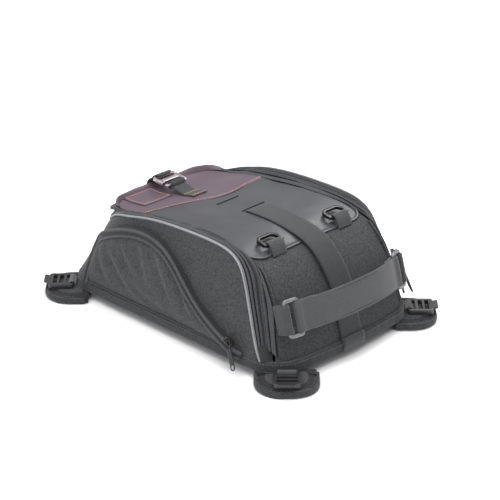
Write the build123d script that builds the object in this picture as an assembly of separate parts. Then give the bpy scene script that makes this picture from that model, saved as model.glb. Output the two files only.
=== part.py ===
"""Soft motorcycle tail bag, stood on a flat surface.

Frame: origin on the surface below the middle of the overall box, +Z up, X across the bag.
The carrying handle is at the -Y end and the leather patch at the +Y end. Millimetres.
The lid opens about a fabric hinge just above the hem at the handle end.
"""
from build123d import *
import os
from math import cos, radians, sin, sqrt

os.makedirs("parts", exist_ok=True)

# ---- driving dimensions -------------------------------------------------------------------
HEM_HALF_WIDTH = 131.0
HEM_HALF_LENGTH = 200.0
HEM_RADIUS = 45.0
END_BOW = 5.0
HEM_BOTTOM = 11.0
HEM_TOP = 25.0
WALL = 4.0
FOAM = 3.0
PAD_INSET = 14.0
PAD_HEIGHT = 11.0
BOARD = 3.0
HEM_THICK = 1.5
FRONT_TAPE = 9.0
SIDE_FOAM = ((-120, 140), (16, 112))
FRONT_FOAM = ((-98, 98), (16, 100))

TUB_TOP = 170.0
TOP_HALF_WIDTH = 115.0
TOP_FRONT = 134.0
TOP_RADIUS = 22.0

LID_HALF_WIDTH = 103.0
LID_SPLIT = 106.0
SPLIT_GAP = 0.3
HINGE_Y = -206.0
HINGE_Z = 30.0
FRONT_WALL_TOP = 112.0
LIP_BOTTOM = 114.5
LIP_DEPTH = 8.0
SKIN_SEAM_Y = -122.0
STIFFENER_HALF_WIDTH = 96.0
STIFFENER_FRONT = 140.0

# Lid edge, in the plane where the lid meets its zip: (y, z) from the back of the hem, over
# the top, to the front edge. The second curve is the same line carried out to the hem's width.
LID_EDGE = [
    (-206, -10), (-201, 28), (-191, 60), (-177, 95), (-162, 116), (-141, 134),
    (-102, 150.5), (-57, 156), (-11, 155.5), (35, 152), (82, 144.5), (150, 128.5),
]
WIDE_EDGE = [
    (-184, -10), (-164.6, 28), (-143.4, 60), (-124.8, 93.6), (-113, 111.4), (-92.6, 130.5),
    (-79.9, 133), (-51.4, 132.5), (-11, 133), (35, 131.7), (82, 125.2), (143.7, 110.5),
]
LID_LIP = (157, FRONT_WALL_TOP - 1)
WIDE_LIP = (150, 97)
BEYOND_FRONT = 240
BELOW_FLOOR = -10

# Where the reflective piping runs on the left side wall: (y, z).
PIPING_LINE = [
    (-165, 28), (-150, 60), (-139, 94), (-129, 114), (-113, 131), (-88, 141),
    (-50, 143.5), (0, 143), (46, 140), (92, 131.5), (138, 119),
]
PIPING_RADIUS = 1.6
PIPING_BEND = 30.0

# Side pocket outline: (y, z). The first leg is the straight foot of its zip.
POCKET_FOOT = (-142, 27)
POCKET_STRAIGHT_END = (-79, 57)
POCKET_CROWN = [(-52, 76), (-25, 101), (2, 122), (34, 131), (78, 126), (118, 110), (146, 88)]
POCKET_FRONT = (158, 27)
POCKET_BULGE = 11.0
POCKET_SKIN = 2.5
POCKET_LOFT = (HEM_TOP + 1, 72.0, 134.0)
POCKET_FOOT_OUT = 0.9

# The leather patch's rear edge, across the lid: (x, y).
PATCH_REAR = [(-100, 97), (-50, 88), (-27, 62), (20, 55), (100, 53)]
PATCH_FRONT = 147.0
LEATHER = 1.2
LABEL_MIDDLE = (-46, 124)
LABEL_SIZE = (50, 46)

STRAP_WIDTH = 38.0
STRAP_SLOT_Y = -29.0
STRAP_SLOT = 4.0
STRAP_BOTTOM = 34.0
STRAP_LIFT = 0.6
HEM_TAB = ((-209.5, -206.6), (12.0, 29.5))
SLIT_Y = 19.5
SLIT = 1.6
D_RING_WIDTH = 35.0
D_RING_WIRE = 4.0
D_RING_PIN = (-60.0, -124.0, 150.5)
D_RING_TILT = 8.0
SLEEVE_OUTER = 4.6
SLEEVE_INNER = 2.8
WEBBING = 2.0
TAPE_WIDTH = 25.0

HANDLE_TILT = 17.0
HANDLE_ORIGIN = (0.0, -185.0, 81.0)
RING_PIVOT_X = 106.0
RING_PIVOT_OUT = 7.5
RING_SIZE = (22.0, 50.0)
RING_BAR = 4.4
RING_SWING = 20.0
GRIP_HEIGHT = 40.0
GRIP_BOW = 18.0
GRIP_HALF_THICK = 1.8
ANCHOR_MIDDLE = (-106.8, 0.0, 6.6)
ANCHOR_SIZE = (13.4, 38.0, 12.4)
ANCHOR_HOLLOW = (8.6, 38.0, 8.8)

# Each main slider: its puller's pivot, and the puller as a vector from there.
MAIN_SLIDERS = {
    "upper": ((117.0, -172.5, 94.0), (5.0, -27.0, -49.0)),
    "lower": ((120.5, -176.0, 73.0), (1.6, -9.0, -35.0)),
}
ZIP_RUN = (2.2, -12.0, -40.0)
ZIP_OUTWARD = (0.84, -0.50, 0.15)
POCKET_PIVOT = (142.5, -124.0, 41.0)
POCKET_RUN = (0.0, -63.0, -30.0)
# The pocket pullers hang outwards; the right one is steeper, to clear the wing under it.
POCKET_HANGS = {"left": (-1, (-16.0, -30.0, -36.0)), "right": (1, (16.0, -22.0, -32.0))}

SLIDER_PLATE = (9.0, 13.0)
BRIDGE_POST = 3.6
EYE_FRAME = (9.6, 12.0)
EYE_WINDOW = (6.6, 9.2)
PULLER_WIDTH = 7.5
PULLER_THICK = 1.8
PULLER_HOLE = (4.2, 7.0)

CLOSURE_X = -4.0
TAPE_LIFT = 1.3
EYE_OUTER = 5.2
EYE_INNER = 3.3
RECEIVER_Y = (68.0, 109.4)
CLOSURE_START = 141.0
HOOK_AXIS = (114.0, 143.2)
HOOK_SIZE = (38.0, 30.0, 4.0)
HOOK_BAR = 4.2
HOOK_SLOT = (27.5, 6.4)
HOOK_OPEN = (28.5, 7.6)
HOOK_MOUTH = (14.0, 5.0)
HOOK_TILT = 6.0

LADDER_SIZE = (34.0, 34.5, 6.0)
WING_HALF_WIDTH = 41.0
WING_TIP = 91.0
WING_CORNER = 35.0
WING_THICK = 12.0
WING_HINGE = 46.8
ROOT_START = 34.0
LADDER_START = 5.2
LADDER_BAR = 2.2
LADDER_RISE = 0.9
LADDER_SLOTS = (0.0, 8.6)
LADDER_SLOT = (5.4, 26.0)
TONGUE_THICK = 2.2
TONGUE_TILT = 14.0
# Each corner wing: sign of X, sign of Y, and its shift along the corner's chord.
WINGS = {
    "rear_left": (-1, -1, -12.0),
    "rear_right": (1, -1, 10.0),
    "front_left": (-1, 1, 10.0),
    "front_right": (1, 1, -12.0),
}


def save(shape, node):
    """Write one node's solids."""
    export_step(shape, f"parts/{node}.step")


def save_pair(shape, node):
    """Write a left piece and its mirror image on the right."""
    save(shape, f"{node}_left")
    save(mirror(shape, about=Plane.YZ), f"{node}_right")


def block(x_range, y_range, z_range):
    """A box given by its ranges."""
    size = [high - low for low, high in (x_range, y_range, z_range)]
    middle = [(high + low) / 2 for low, high in (x_range, y_range, z_range)]
    return Pos(*middle) * Box(*size)


# ---- outer form ---------------------------------------------------------------------------
def tub_face(z, outset):
    """Horizontal section of the bag's walls at height z, moved outwards by outset."""
    rise = max(z - HEM_TOP, 0.0) / (TUB_TOP - HEM_TOP)
    half = HEM_HALF_WIDTH + (TOP_HALF_WIDTH - HEM_HALF_WIDTH) * rise + outset
    front = HEM_HALF_LENGTH + (TOP_FRONT - HEM_HALF_LENGTH) * rise + outset
    rear = -HEM_HALF_LENGTH - outset
    r = HEM_RADIUS + (TOP_RADIUS - HEM_RADIUS) * rise + outset
    k = r * (1 - sqrt(0.5))
    edges = [
        Line((half, rear + r), (half, front - r)),
        ThreePointArc((half, front - r), (half - k, front - k), (half - r, front)),
        ThreePointArc((half - r, front), (0, front + END_BOW), (r - half, front)),
        ThreePointArc((r - half, front), (k - half, front - k), (-half, front - r)),
        Line((-half, front - r), (-half, rear + r)),
        ThreePointArc((-half, rear + r), (k - half, rear + k), (r - half, rear)),
        ThreePointArc((r - half, rear), (0, rear - END_BOW), (half - r, rear)),
        ThreePointArc((half - r, rear), (half - k, rear + k), (half, rear + r)),
    ]
    return Pos(0, 0, z) * make_face(edges)


def tub(outset):
    """Solid inside the walls: upright at the hem, then leaning in towards the top."""
    foot = extrude(tub_face(HEM_BOTTOM, outset), HEM_TOP - HEM_BOTTOM)
    return foot + loft([tub_face(HEM_TOP, outset), tub_face(TUB_TOP, outset)], ruled=True)


def grown(points, amount):
    """The closed outline with each side moved outwards by amount, corners kept sharp."""
    moved = []
    for index, point in enumerate(points):
        before = Vector(*point) - Vector(*points[index - 1])
        after = Vector(*points[(index + 1) % len(points)]) - Vector(*point)
        sides = [Vector(-side.Y, side.X).normalized() for side in (before, after)]
        miter = (sides[0] + sides[1]) / (1 + sides[0].dot(sides[1]))
        moved.append(tuple(Vector(*point) + miter * amount)[:2])
    return moved


def edge_face(edge, lip, amount):
    """Closed face under one of the lid's edge curves, its outline moved outwards by amount."""
    front = [lip, (BEYOND_FRONT, lip[1]), (BEYOND_FRONT, BELOW_FLOOR)]
    points = grown(edge + front, amount)
    curved = points[:len(edge)]
    straight = points[len(edge) - 1:] + points[:1]
    return make_face(Spline(curved).edges() + Polyline(straight).edges())


def roof(outset):
    """Solid under the lid's skin: level across the lid, then falling to the side walls."""
    lid_face = edge_face(LID_EDGE, LID_LIP, outset)
    wide_face = edge_face(WIDE_EDGE, WIDE_LIP, outset)
    middle = extrude(Plane.YZ * lid_face, LID_HALF_WIDTH, both=True)
    flank = loft([Plane.YZ.offset(LID_HALF_WIDTH) * lid_face, Plane.YZ.offset(HEM_HALF_WIDTH) * wide_face],
                 ruled=True)
    return middle + flank + mirror(flank, about=Plane.YZ)


def under_skin(height):
    """Everything below the lid's skin, raised by height."""
    return extrude(Plane.YZ * edge_face(LID_EDGE, LID_LIP, height), LID_HALF_WIDTH, both=True)


def skin_layer(low, high, x_range):
    """Sheet that follows the lid's skin, from low to high above it."""
    ring = edge_face(LID_EDGE, LID_LIP, high) - edge_face(LID_EDGE, LID_LIP, low)
    return extrude(Plane.YZ.offset(x_range[0]) * ring, x_range[1] - x_range[0])


TUB_OUTER = tub(0)
TUB_INNER = tub(-WALL)
ROOF_OUTER = roof(0)
ROOF_INNER = roof(-WALL)
SHELL = (TUB_OUTER & ROOF_OUTER) - (TUB_INNER & ROOF_INNER)
WALLS = SHELL - TUB_INNER
SPAN = (-300, 300)
ABOVE_HINGE = (HINGE_Z + SPLIT_GAP, 300)
OUTSIDE_SPLIT = (-300, -LID_SPLIT - SPLIT_GAP)
INSIDE_SPLIT = (-LID_SPLIT + SPLIT_GAP, LID_SPLIT - SPLIT_GAP)


# ---- fixed tub ----------------------------------------------------------------------------
def fixed_tub():
    """Walls, hem, base and the fixed half of the zip."""
    save_pair(WALLS & block(OUTSIDE_SPLIT, SPAN, (HEM_BOTTOM, 300)), "side_wall")
    band = SHELL & TUB_INNER & block(OUTSIDE_SPLIT, SPAN, (HEM_TOP, 300))
    save_pair(max(band.solids(), key=lambda solid: solid.volume), "zip_band")
    middle = (-LID_SPLIT - SPLIT_GAP, LID_SPLIT + SPLIT_GAP)
    tape_bottom = FRONT_WALL_TOP - FRONT_TAPE
    save(WALLS & block(middle, (0, 300), (HEM_BOTTOM, tape_bottom)), "front_wall")
    save(WALLS & block(middle, (0, 300), (tape_bottom, FRONT_WALL_TOP)), "front_zip_tape")
    save(WALLS & block(middle, (-300, 0), (HEM_BOTTOM, HINGE_Z - SPLIT_GAP)), "rear_lower_wall")
    hem = extrude(tub_face(HEM_BOTTOM, HEM_THICK) - tub_face(HEM_BOTTOM, 0), HEM_TOP - HEM_BOTTOM)
    save(hem, "hem_binding")
    save(extrude(tub_face(0, -PAD_INSET), PAD_HEIGHT), "underside_pad")
    save(extrude(tub_face(HEM_BOTTOM, -WALL), BOARD), "base_board")


def wall_foams():
    """Stiffening foam sheets inside the side walls and the front wall."""
    foam = (TUB_INNER & ROOF_INNER) - tub(-WALL - FOAM)
    side = foam & block(OUTSIDE_SPLIT, *SIDE_FOAM)
    front = foam & block(FRONT_FOAM[0], (100, 300), FRONT_FOAM[1])
    save(side + mirror(side, about=Plane.YZ) + front, "wall_foams")


def wall_x(z):
    """Half width of the outer wall at height z."""
    rise = (z - HEM_TOP) / (TUB_TOP - HEM_TOP)
    return HEM_HALF_WIDTH + (TOP_HALF_WIDTH - HEM_HALF_WIDTH) * rise


def piping():
    """Reflective cord sewn between each side wall and its zip band."""
    points = [(-wall_x(z), y, z) for y, z in PIPING_LINE]
    path = FilletPolyline(*points, radius=PIPING_BEND)
    section = Plane(origin=path @ 0, z_dir=path % 0) * Circle(PIPING_RADIUS)
    save_pair(sweep(section, path=path), "piping")


# ---- lid ----------------------------------------------------------------------------------
def lid():
    """Top panel, rear panel, front lip, edge tapes and stiffener."""
    across = (-LID_HALF_WIDTH, LID_HALF_WIDTH)
    half = STRAP_WIDTH / 2
    slots = block((-half - 1, half + 1), (STRAP_SLOT_Y, STRAP_SLOT_Y + STRAP_SLOT), (100, 200))
    slots += block((-half, half), (SLIT_Y - SLIT / 2, SLIT_Y + SLIT / 2), (100, 200))
    lip_y = LID_EDGE[-1][0] - LIP_DEPTH
    save((SHELL & block(across, (SKIN_SEAM_Y, lip_y), (110, 300))) - slots, "top_panel")
    save(SHELL & block(across, (lip_y, 300), (LIP_BOTTOM, 300)), "lid_front_lip")
    save(SHELL & block(across, (-300, SKIN_SEAM_Y), ABOVE_HINGE), "rear_panel")
    tape = SHELL & block((INSIDE_SPLIT[0], -LID_HALF_WIDTH), SPAN, ABOVE_HINGE)
    tape -= block(SPAN, (0, 300), (0, LIP_BOTTOM))
    save_pair(tape, "lid_zip_tape")
    sheet = skin_layer(-WALL - FOAM, -WALL, (-STIFFENER_HALF_WIDTH, STIFFENER_HALF_WIDTH))
    stiffener = sheet & block(SPAN, (SKIN_SEAM_Y, STIFFENER_FRONT), (110, 200))
    save(stiffener - slots, "lid_stiffener")


def patches():
    """Leather patch with a curved rear edge, and a square label patch on it."""
    left, right = PATCH_REAR[0], PATCH_REAR[-1]
    other_edges = Polyline(right, (right[0], PATCH_FRONT), (left[0], PATCH_FRONT), left)
    outline = make_face(Spline(PATCH_REAR).edges() + other_edges.edges())
    save(skin_layer(0, LEATHER, (left[0] - 1, right[0] + 1)) & extrude(outline, 300), "leather_patch")
    label = extrude(Pos(*LABEL_MIDDLE) * RectangleRounded(*LABEL_SIZE, 3), 300)
    save(skin_layer(LEATHER, 2 * LEATHER, (-80, 0)) & label, "label_patch")


def top_strap():
    """Wide strap from its slot in the top panel down to the hem at the rear."""
    half = STRAP_WIDTH / 2
    strap = skin_layer(STRAP_LIFT, STRAP_LIFT + WEBBING, (-half, half))
    save(strap & block(SPAN, (-300, STRAP_SLOT_Y), (STRAP_BOTTOM, 300)), "top_strap")
    save(block((-half, half), *HEM_TAB), "strap_hem_tab")


def closure():
    """Receiver tape on the patch, G-hook, and the strap that comes over the front edge."""
    half = TAPE_WIDTH / 2
    across = (CLOSURE_X - half, CLOSURE_X + half)
    tape = skin_layer(TAPE_LIFT, TAPE_LIFT + WEBBING, across)
    eye = Cylinder(EYE_OUTER, TAPE_WIDTH) - Cylinder(EYE_INNER, TAPE_WIDTH)
    placed_eye = (Pos(CLOSURE_X, *HOOK_AXIS) * Rot(0, 90, 0) * eye) - under_skin(TAPE_LIFT)
    save((tape & block(SPAN, RECEIVER_Y, (110, 300))) + placed_eye, "receiver_tape")
    save((tape & block(SPAN, (CLOSURE_START, 300), (LIP_BOTTOM + 1, 300))), "closure_strap")
    hook_frame = Pos(CLOSURE_X, *HOOK_AXIS) * Rot(HOOK_TILT, 0, 0)
    save(hook_frame * hook(), "g_hook")
    front_bar = HOOK_SIZE[1] - HOOK_BAR
    save(hook_frame * Pos(0, front_bar, 0) * Rot(0, 90, 0) * eye, "hook_strap_loop")


def hook():
    """Flat G-hook: a closed slot for the strap and an open one round the receiver tape."""
    width, length, thick = HOOK_SIZE
    front, rear = length - HOOK_BAR / 2, -HOOK_BAR / 2
    plate = Pos(0, (front + rear) / 2) * RectangleRounded(width, length, 4)
    strap_slot = Pos(0, front - HOOK_BAR - HOOK_SLOT[1] / 2) * RectangleRounded(*HOOK_SLOT, 1.5)
    rear_slot = Pos(0, rear + HOOK_BAR + HOOK_OPEN[1] / 2) * RectangleRounded(*HOOK_OPEN, 1.5)
    mouth = Pos(-width / 2, rear + HOOK_BAR + 3.0) * Rectangle(*HOOK_MOUTH)
    return Pos(0, 0, -thick / 2) * extrude(plate - strap_slot - rear_slot - mouth, thick)


def d_ring_parts():
    """Webbing loop and D-ring, on each side of the strap."""
    x_mid, y_pin, z_pin = D_RING_PIN
    half = TAPE_WIDTH / 2
    sleeve = Cylinder(SLEEVE_OUTER, TAPE_WIDTH) - Cylinder(SLEEVE_INNER, TAPE_WIDTH)
    loop = Pos(*D_RING_PIN) * Rot(0, 90, 0) * sleeve
    foot = block((x_mid - half, x_mid + half), (y_pin - 6, y_pin - 3.6), (140, z_pin))
    save_pair(loop + (foot - under_skin(0)), "d_ring_loop")
    bar = Rot(0, 90, 0) * Cylinder(D_RING_WIRE / 2, D_RING_WIDTH - 4)
    height = 0.9 * D_RING_WIDTH
    outer = RectangleRounded(D_RING_WIDTH, height, 0.3 * D_RING_WIDTH)
    bow = Pos(0, height / 8) * (outer - offset(outer, amount=-D_RING_WIRE))
    bow &= Pos(0, height) * Rectangle(2 * D_RING_WIDTH, 2 * height)
    ring = bar + Pos(0, 0, -D_RING_WIRE / 2) * extrude(bow, D_RING_WIRE)
    save_pair(Pos(*D_RING_PIN) * Rot(D_RING_TILT, 0, 0) * ring, "d_ring")


# ---- handle -------------------------------------------------------------------------------
TILT = radians(HANDLE_TILT)
HANDLE_PLANE = Plane(origin=HANDLE_ORIGIN, x_dir=(1, 0, 0), z_dir=(0, -cos(TILT), sin(TILT)))


def handle():
    """Anchor tapes on the rear panel, two rectangular rings and the bowed grip."""
    anchor = Pos(*ANCHOR_MIDDLE) * (Box(*ANCHOR_SIZE) - Pos(0.8, 0, 0.9) * Box(*ANCHOR_HOLLOW))
    save_pair((HANDLE_PLANE * anchor) - under_skin(0), "handle_anchor")
    width, height = RING_SIZE
    window = RectangleRounded(width - 2 * RING_BAR, height - 2 * RING_BAR, 2)
    frame = RectangleRounded(width, height, 5) - window
    ring = Pos(width / 2 - RING_BAR / 2, 0, -RING_BAR / 2) * extrude(frame, RING_BAR)
    placed = Pos(-RING_PIVOT_X, 0, RING_PIVOT_OUT) * Rot(0, -RING_SWING, 0) * ring
    save_pair(HANDLE_PLANE * placed, "handle_ring")
    save(HANDLE_PLANE * grip(), "handle_grip")


def grip():
    """Folded webbing grip with a loop round each ring's outer bar."""
    reach = RING_SIZE[0] - RING_BAR
    bar_x = RING_PIVOT_X - reach * cos(radians(RING_SWING))
    bar_out = RING_PIVOT_OUT + reach * sin(radians(RING_SWING))
    end = bar_x - 5.6
    low, high = bar_out - GRIP_HALF_THICK, bar_out + GRIP_HALF_THICK
    arc_low = ThreePointArc((-end, low), (0, low + GRIP_BOW), (end, low))
    arc_high = ThreePointArc((-end, high), (0, high + GRIP_BOW), (end, high))
    caps = [Line(arc_low @ 0, arc_high @ 0), Line(arc_low @ 1, arc_high @ 1)]
    band = make_face(arc_low.edges() + arc_high.edges() + caps)
    loops = Sketch()
    for side in (-1, 1):
        centre = Pos(side * (bar_x + 0.6), bar_out)
        loops += centre * (RectangleRounded(14, 12.5, 4) - RectangleRounded(10.6, 9.2, 3))
    profile = Plane.XZ * (band + loops)
    return extrude(profile, GRIP_HEIGHT / 2, both=True)


# ---- zip sliders and pullers --------------------------------------------------------------
def slider_body():
    """Zip slider: flat body with a bridge over it, and the pull's axis through the origin."""
    body = Pos(0, 0, -5) * extrude(RectangleRounded(*SLIDER_PLATE, 2.5), 3.2)
    post = Pos(0, 0, -0.2) * Box(2, 1.6, 3.6)
    posts = Pos(0, -BRIDGE_POST, 0) * post + Pos(0, BRIDGE_POST, 0) * post
    return body + posts + Pos(0, 0, 2.2) * Box(2, 2 * BRIDGE_POST + 1.6, 1.6)


def puller_body(length):
    """Tape puller: a wire eye whose bar is at the origin, and a flat tab with an open end."""
    eye = RectangleRounded(*EYE_FRAME, 2.4) - RectangleRounded(*EYE_WINDOW, 1.2)
    tab = Pos(0, -length / 2 - 4.8) * RectangleRounded(PULLER_WIDTH, length - 9, 2)
    hole = Pos(0, -length + 4) * RectangleRounded(*PULLER_HOLE, 1.8)
    plate = Pos(0, 0, -PULLER_THICK / 2) * extrude(Pos(0, -5.2) * eye + tab - hole, PULLER_THICK)
    half_window = EYE_WINDOW[0] / 2
    bar = Rot(0, 90, 0) * Cylinder(0.8, 7.4)
    return plate - block((-half_window, half_window), (-0.9, 0.9), (-2, 2)) + bar


def aimed(origin, along, outward):
    """Plane at origin whose -Y axis points along and whose Z axis is nearest outward."""
    along = Vector(*along).normalized()
    outward = Vector(*outward)
    normal = (outward - along * outward.dot(along)).normalized()
    return Plane(origin=origin, x_dir=(along * -1).cross(normal), z_dir=normal)


def main_sliders():
    """Two sliders at the right rear corner, each with its puller hanging outwards."""
    for name, (pivot, hang) in MAIN_SLIDERS.items():
        save(aimed(pivot, ZIP_RUN, ZIP_OUTWARD) * slider_body(), f"{name}_slider")
        length = Vector(*hang).length
        place = aimed(pivot, hang, ZIP_OUTWARD)
        save(place * puller_body(length), f"{name}_puller")


# ---- side pockets -------------------------------------------------------------------------
def pocket_edges(amount):
    """Outline of the pocket, moved outwards by amount: a straight foot, then the crown."""
    points = grown([POCKET_FOOT, POCKET_STRAIGHT_END] + POCKET_CROWN + [POCKET_FRONT], amount)
    foot = Line(points[0], points[1])
    bottom = Line(points[-1], points[0])
    return foot.edges() + Spline(points[1:]).edges() + bottom.edges()


def pocket():
    """Domed pocket cover, its slider and its puller, on each side."""
    bulges = (POCKET_FOOT_OUT, POCKET_BULGE, POCKET_BULGE)
    outer = loft([tub_face(z, bulge) for z, bulge in zip(POCKET_LOFT, bulges)])
    inner = loft([tub_face(z, bulge - POCKET_SKIN) for z, bulge in zip(POCKET_LOFT, bulges)])
    prism = extrude(Plane.YZ.offset(-160) * make_face(pocket_edges(0)), 60)
    core = extrude(Plane.YZ.offset(-160) * make_face(pocket_edges(-POCKET_SKIN)), 60)
    cover = (prism & outer) - (core & inner) - tub(0.4)
    cover &= block((-200, -100), SPAN, (HEM_TOP + 2, 200))
    save_pair(cover, "pocket_cover")
    for side, (sign, hang) in POCKET_HANGS.items():
        pivot = (sign * POCKET_PIVOT[0], *POCKET_PIVOT[1:])
        outward = (sign, 0, 0)
        save(aimed(pivot, POCKET_RUN, outward) * slider_body(), f"pocket_slider_{side}")
        length = Vector(*hang).length
        place = aimed(pivot, hang, outward)
        save(place * puller_body(length), f"pocket_puller_{side}")


# ---- corner wings -------------------------------------------------------------------------
def wing_plane(sign_x, sign_y, shift):
    """Frame of one wing: X outwards on the corner's diagonal, Z up, origin at the corner centre."""
    corner_x = sign_x * (HEM_HALF_WIDTH - HEM_RADIUS)
    corner_y = sign_y * (HEM_HALF_LENGTH - HEM_RADIUS)
    step = shift * sqrt(0.5)
    origin = (corner_x + sign_x * step, corner_y - sign_y * step, 0)
    return Plane(origin=origin, x_dir=(sign_x, sign_y, 0), z_dir=(0, 0, 1))


def wing_outline(start):
    """Flat outline of a wing from start out to its rounded tip."""
    length = WING_TIP - start
    blank = Pos(WING_TIP - length, 0) * RectangleRounded(2 * length, 2 * WING_HALF_WIDTH, WING_CORNER)
    return blank & (Pos(start + length / 2, 0) * Rectangle(length, 2 * WING_HALF_WIDTH))


def ladderlock():
    """Strap buckle: a round bar on the Y axis, two more bars and a raised tongue."""
    length, width, thick = LADDER_SIZE
    offset_x = length / 2 - LADDER_BAR
    frame = RectangleRounded(length, width, 4)
    frame -= Pos(LADDER_BAR + 3 - length / 2) * Rectangle(2 * LADDER_BAR + 6, LADDER_SLOT[1])
    for x in LADDER_SLOTS:
        frame -= Pos(x, 0) * RectangleRounded(*LADDER_SLOT, 1)
    buckle = extrude(frame, thick)
    tongue = extrude(Pos(3, 0) * RectangleRounded(9, 22, 3), TONGUE_THICK)
    lip = Pos(length / 2 - 0.5, 0, thick - TONGUE_THICK) * Rot(0, -TONGUE_TILT, 0) * tongue
    bar = Rot(90, 0, 0) * Cylinder(LADDER_BAR, 28)
    return Pos(offset_x, 0, -thick / 2) * (buckle + lip) + bar


LADDER_AXIS = (WING_HINGE + LADDER_START + LADDER_BAR, WING_THICK + LADDER_RISE + LADDER_SIZE[2] / 2)


def ladder_tab():
    """Webbing tab folded round the buckle's first bar and sewn to the wing."""
    profile = Pos(*LADDER_AXIS) * (RectangleRounded(9.6, 11.0, 3) - RectangleRounded(7.4, 8.6, 2))
    tab = extrude(Plane.XZ * profile, TAPE_WIDTH / 2 - 0.4, both=True)
    return tab & block(SPAN, SPAN, (WING_THICK, 60))


def wings():
    """Corner wings with their sewn roots, tabs and buckles."""
    roots = Part()
    root_end = WING_HINGE - 0.4
    for name, place in WINGS.items():
        frame = wing_plane(*place)
        root = Pos((ROOT_START + root_end) / 2, 0) * Rectangle(root_end - ROOT_START, 2 * WING_HALF_WIDTH)
        roots += frame * extrude(root, HEM_BOTTOM)
        save(frame * extrude(wing_outline(WING_HINGE + 0.2), WING_THICK), f"wing_{name}")
        save(frame * ladder_tab(), f"wing_tab_{name}")
        save(frame * Pos(LADDER_AXIS[0], 0, LADDER_AXIS[1]) * ladderlock(), f"ladderlock_{name}")
    save(roots - extrude(tub_face(0, -PAD_INSET), PAD_HEIGHT), "wing_roots")


fixed_tub()
wall_foams()
piping()
lid()
patches()
top_strap()
closure()
d_ring_parts()
handle()
main_sliders()
pocket()
wings()
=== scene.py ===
import math

import bmesh
import bpy
import numpy as np
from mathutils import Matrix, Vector, noise


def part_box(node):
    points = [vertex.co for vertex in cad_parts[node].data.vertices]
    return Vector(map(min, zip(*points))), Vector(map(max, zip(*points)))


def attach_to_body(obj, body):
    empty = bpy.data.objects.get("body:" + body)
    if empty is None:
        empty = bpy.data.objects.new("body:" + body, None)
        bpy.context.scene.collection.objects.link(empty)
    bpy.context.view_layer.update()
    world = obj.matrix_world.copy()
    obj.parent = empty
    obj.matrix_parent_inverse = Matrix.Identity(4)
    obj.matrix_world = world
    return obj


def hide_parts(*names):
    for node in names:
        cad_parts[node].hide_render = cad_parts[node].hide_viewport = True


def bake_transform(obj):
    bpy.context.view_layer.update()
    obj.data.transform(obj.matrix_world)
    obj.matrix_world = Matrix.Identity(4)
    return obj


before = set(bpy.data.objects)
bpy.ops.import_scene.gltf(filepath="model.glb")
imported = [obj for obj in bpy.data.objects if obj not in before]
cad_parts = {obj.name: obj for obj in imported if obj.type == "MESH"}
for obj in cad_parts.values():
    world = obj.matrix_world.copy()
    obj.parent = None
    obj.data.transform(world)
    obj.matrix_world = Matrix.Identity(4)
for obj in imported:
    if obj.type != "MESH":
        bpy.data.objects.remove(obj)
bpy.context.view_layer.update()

# Lengths below are in millimetres in the CAD frame; new_piece() turns them into metres.
MM = 0.001

# ---- the bag's form --------------------------------------------------------------------------
# The walls are the CAD model's. The lid's skin dips 6 to 9 mm below the CAD panel, between its rims.
HEM_HALF_WIDTH, HEM_HALF_LENGTH, HEM_RADIUS = 131.0, 200.0, 45.0
END_BOW = 5.0
HEM_BOTTOM, HEM_TOP = 11.0, 25.0
TUB_TOP, TOP_HALF_WIDTH, TOP_FRONT, TOP_RADIUS, TOP_FRONT_RADIUS = 170.0, 115.0, 134.0, 22.0, 90.0
# The lid's skin along its middle, (y, z): from the back of the hem, over the top, to the front.
LID_LINE = [
    (-206, -10), (-201, 28), (-191, 60), (-177, 95), (-162, 116), (-142, 134), (-122, 143),
    (-98, 148.5), (-65, 150.8), (-29, 149.8), (0, 147.3), (35, 142.6), (70, 137.4), (104, 131),
    (135, 127.8), (148, 127), (156, 119), (157.5, 113),
]
# Half width of the skin, and how far its edges fall below its middle, at places along that line.
LID_SIDES = [
    ("z", 26, 117, 14.5), ("z", 49, 114, 14), ("z", 70, 112, 11), ("z", 90, 109, 8),
    ("z", 108, 107, 5.5), ("z", 122, 105, 3), ("z", 134, 103, 1), ("y", -115, 101, 2.5),
    ("y", -95, 99, 2.5), ("y", -50, 93.5, 2.0), ("y", 30, 93, 0.5), ("y", 120, 93, 0.5),
    ("y", 150, 93, 3.0),
]
# Where the piping runs along the side wall, (y, z), and the line of the zip on the left side.
PIPING_LINE = [
    (-168, 25), (-160, 43.5), (-145, 85), (-134, 116), (-119, 141), (-103, 149.5), (-85, 152.6),
    (-52, 153.6), (-28, 153), (3, 151.6), (35, 148.6), (66, 143), (90, 136.6), (116, 128), (135, 117),
    (150, 107), (160, 103),
]
ZIP_LINE = [
    (-123, -176, 25), (-117, -167, 50), (-113, -158.5, 75), (-110, -150, 103), (-107.5, -143, 126),
    (-106.4, -131, 140), (-106, -115, 147.5), (-106, -80, 151.4), (-106, -40, 152), (-106, 0, 150),
    (-106, 35, 146.6), (-106, 70, 141.4), (-105, 105, 134), (-99, 126, 127), (-82, 143, 121),
    (-45, 154.5, 116.5), (0, 159.5, 115),
]
HINGE_Y, HINGE_Z = -206.0, 30.0
HINGE_SPAN = (24.0, 42.0)
STRAP_WIDTH, STRAP_SLOT_Y = 38.0, -29.0
SLIT_Y, SLIT_HALF = 19.5, 19.5
TAPE_WIDTH, TAPE_THICK, LOOP_THICK = 25.0, 1.8, 1.6
WALL_THICK = 3.4


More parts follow.
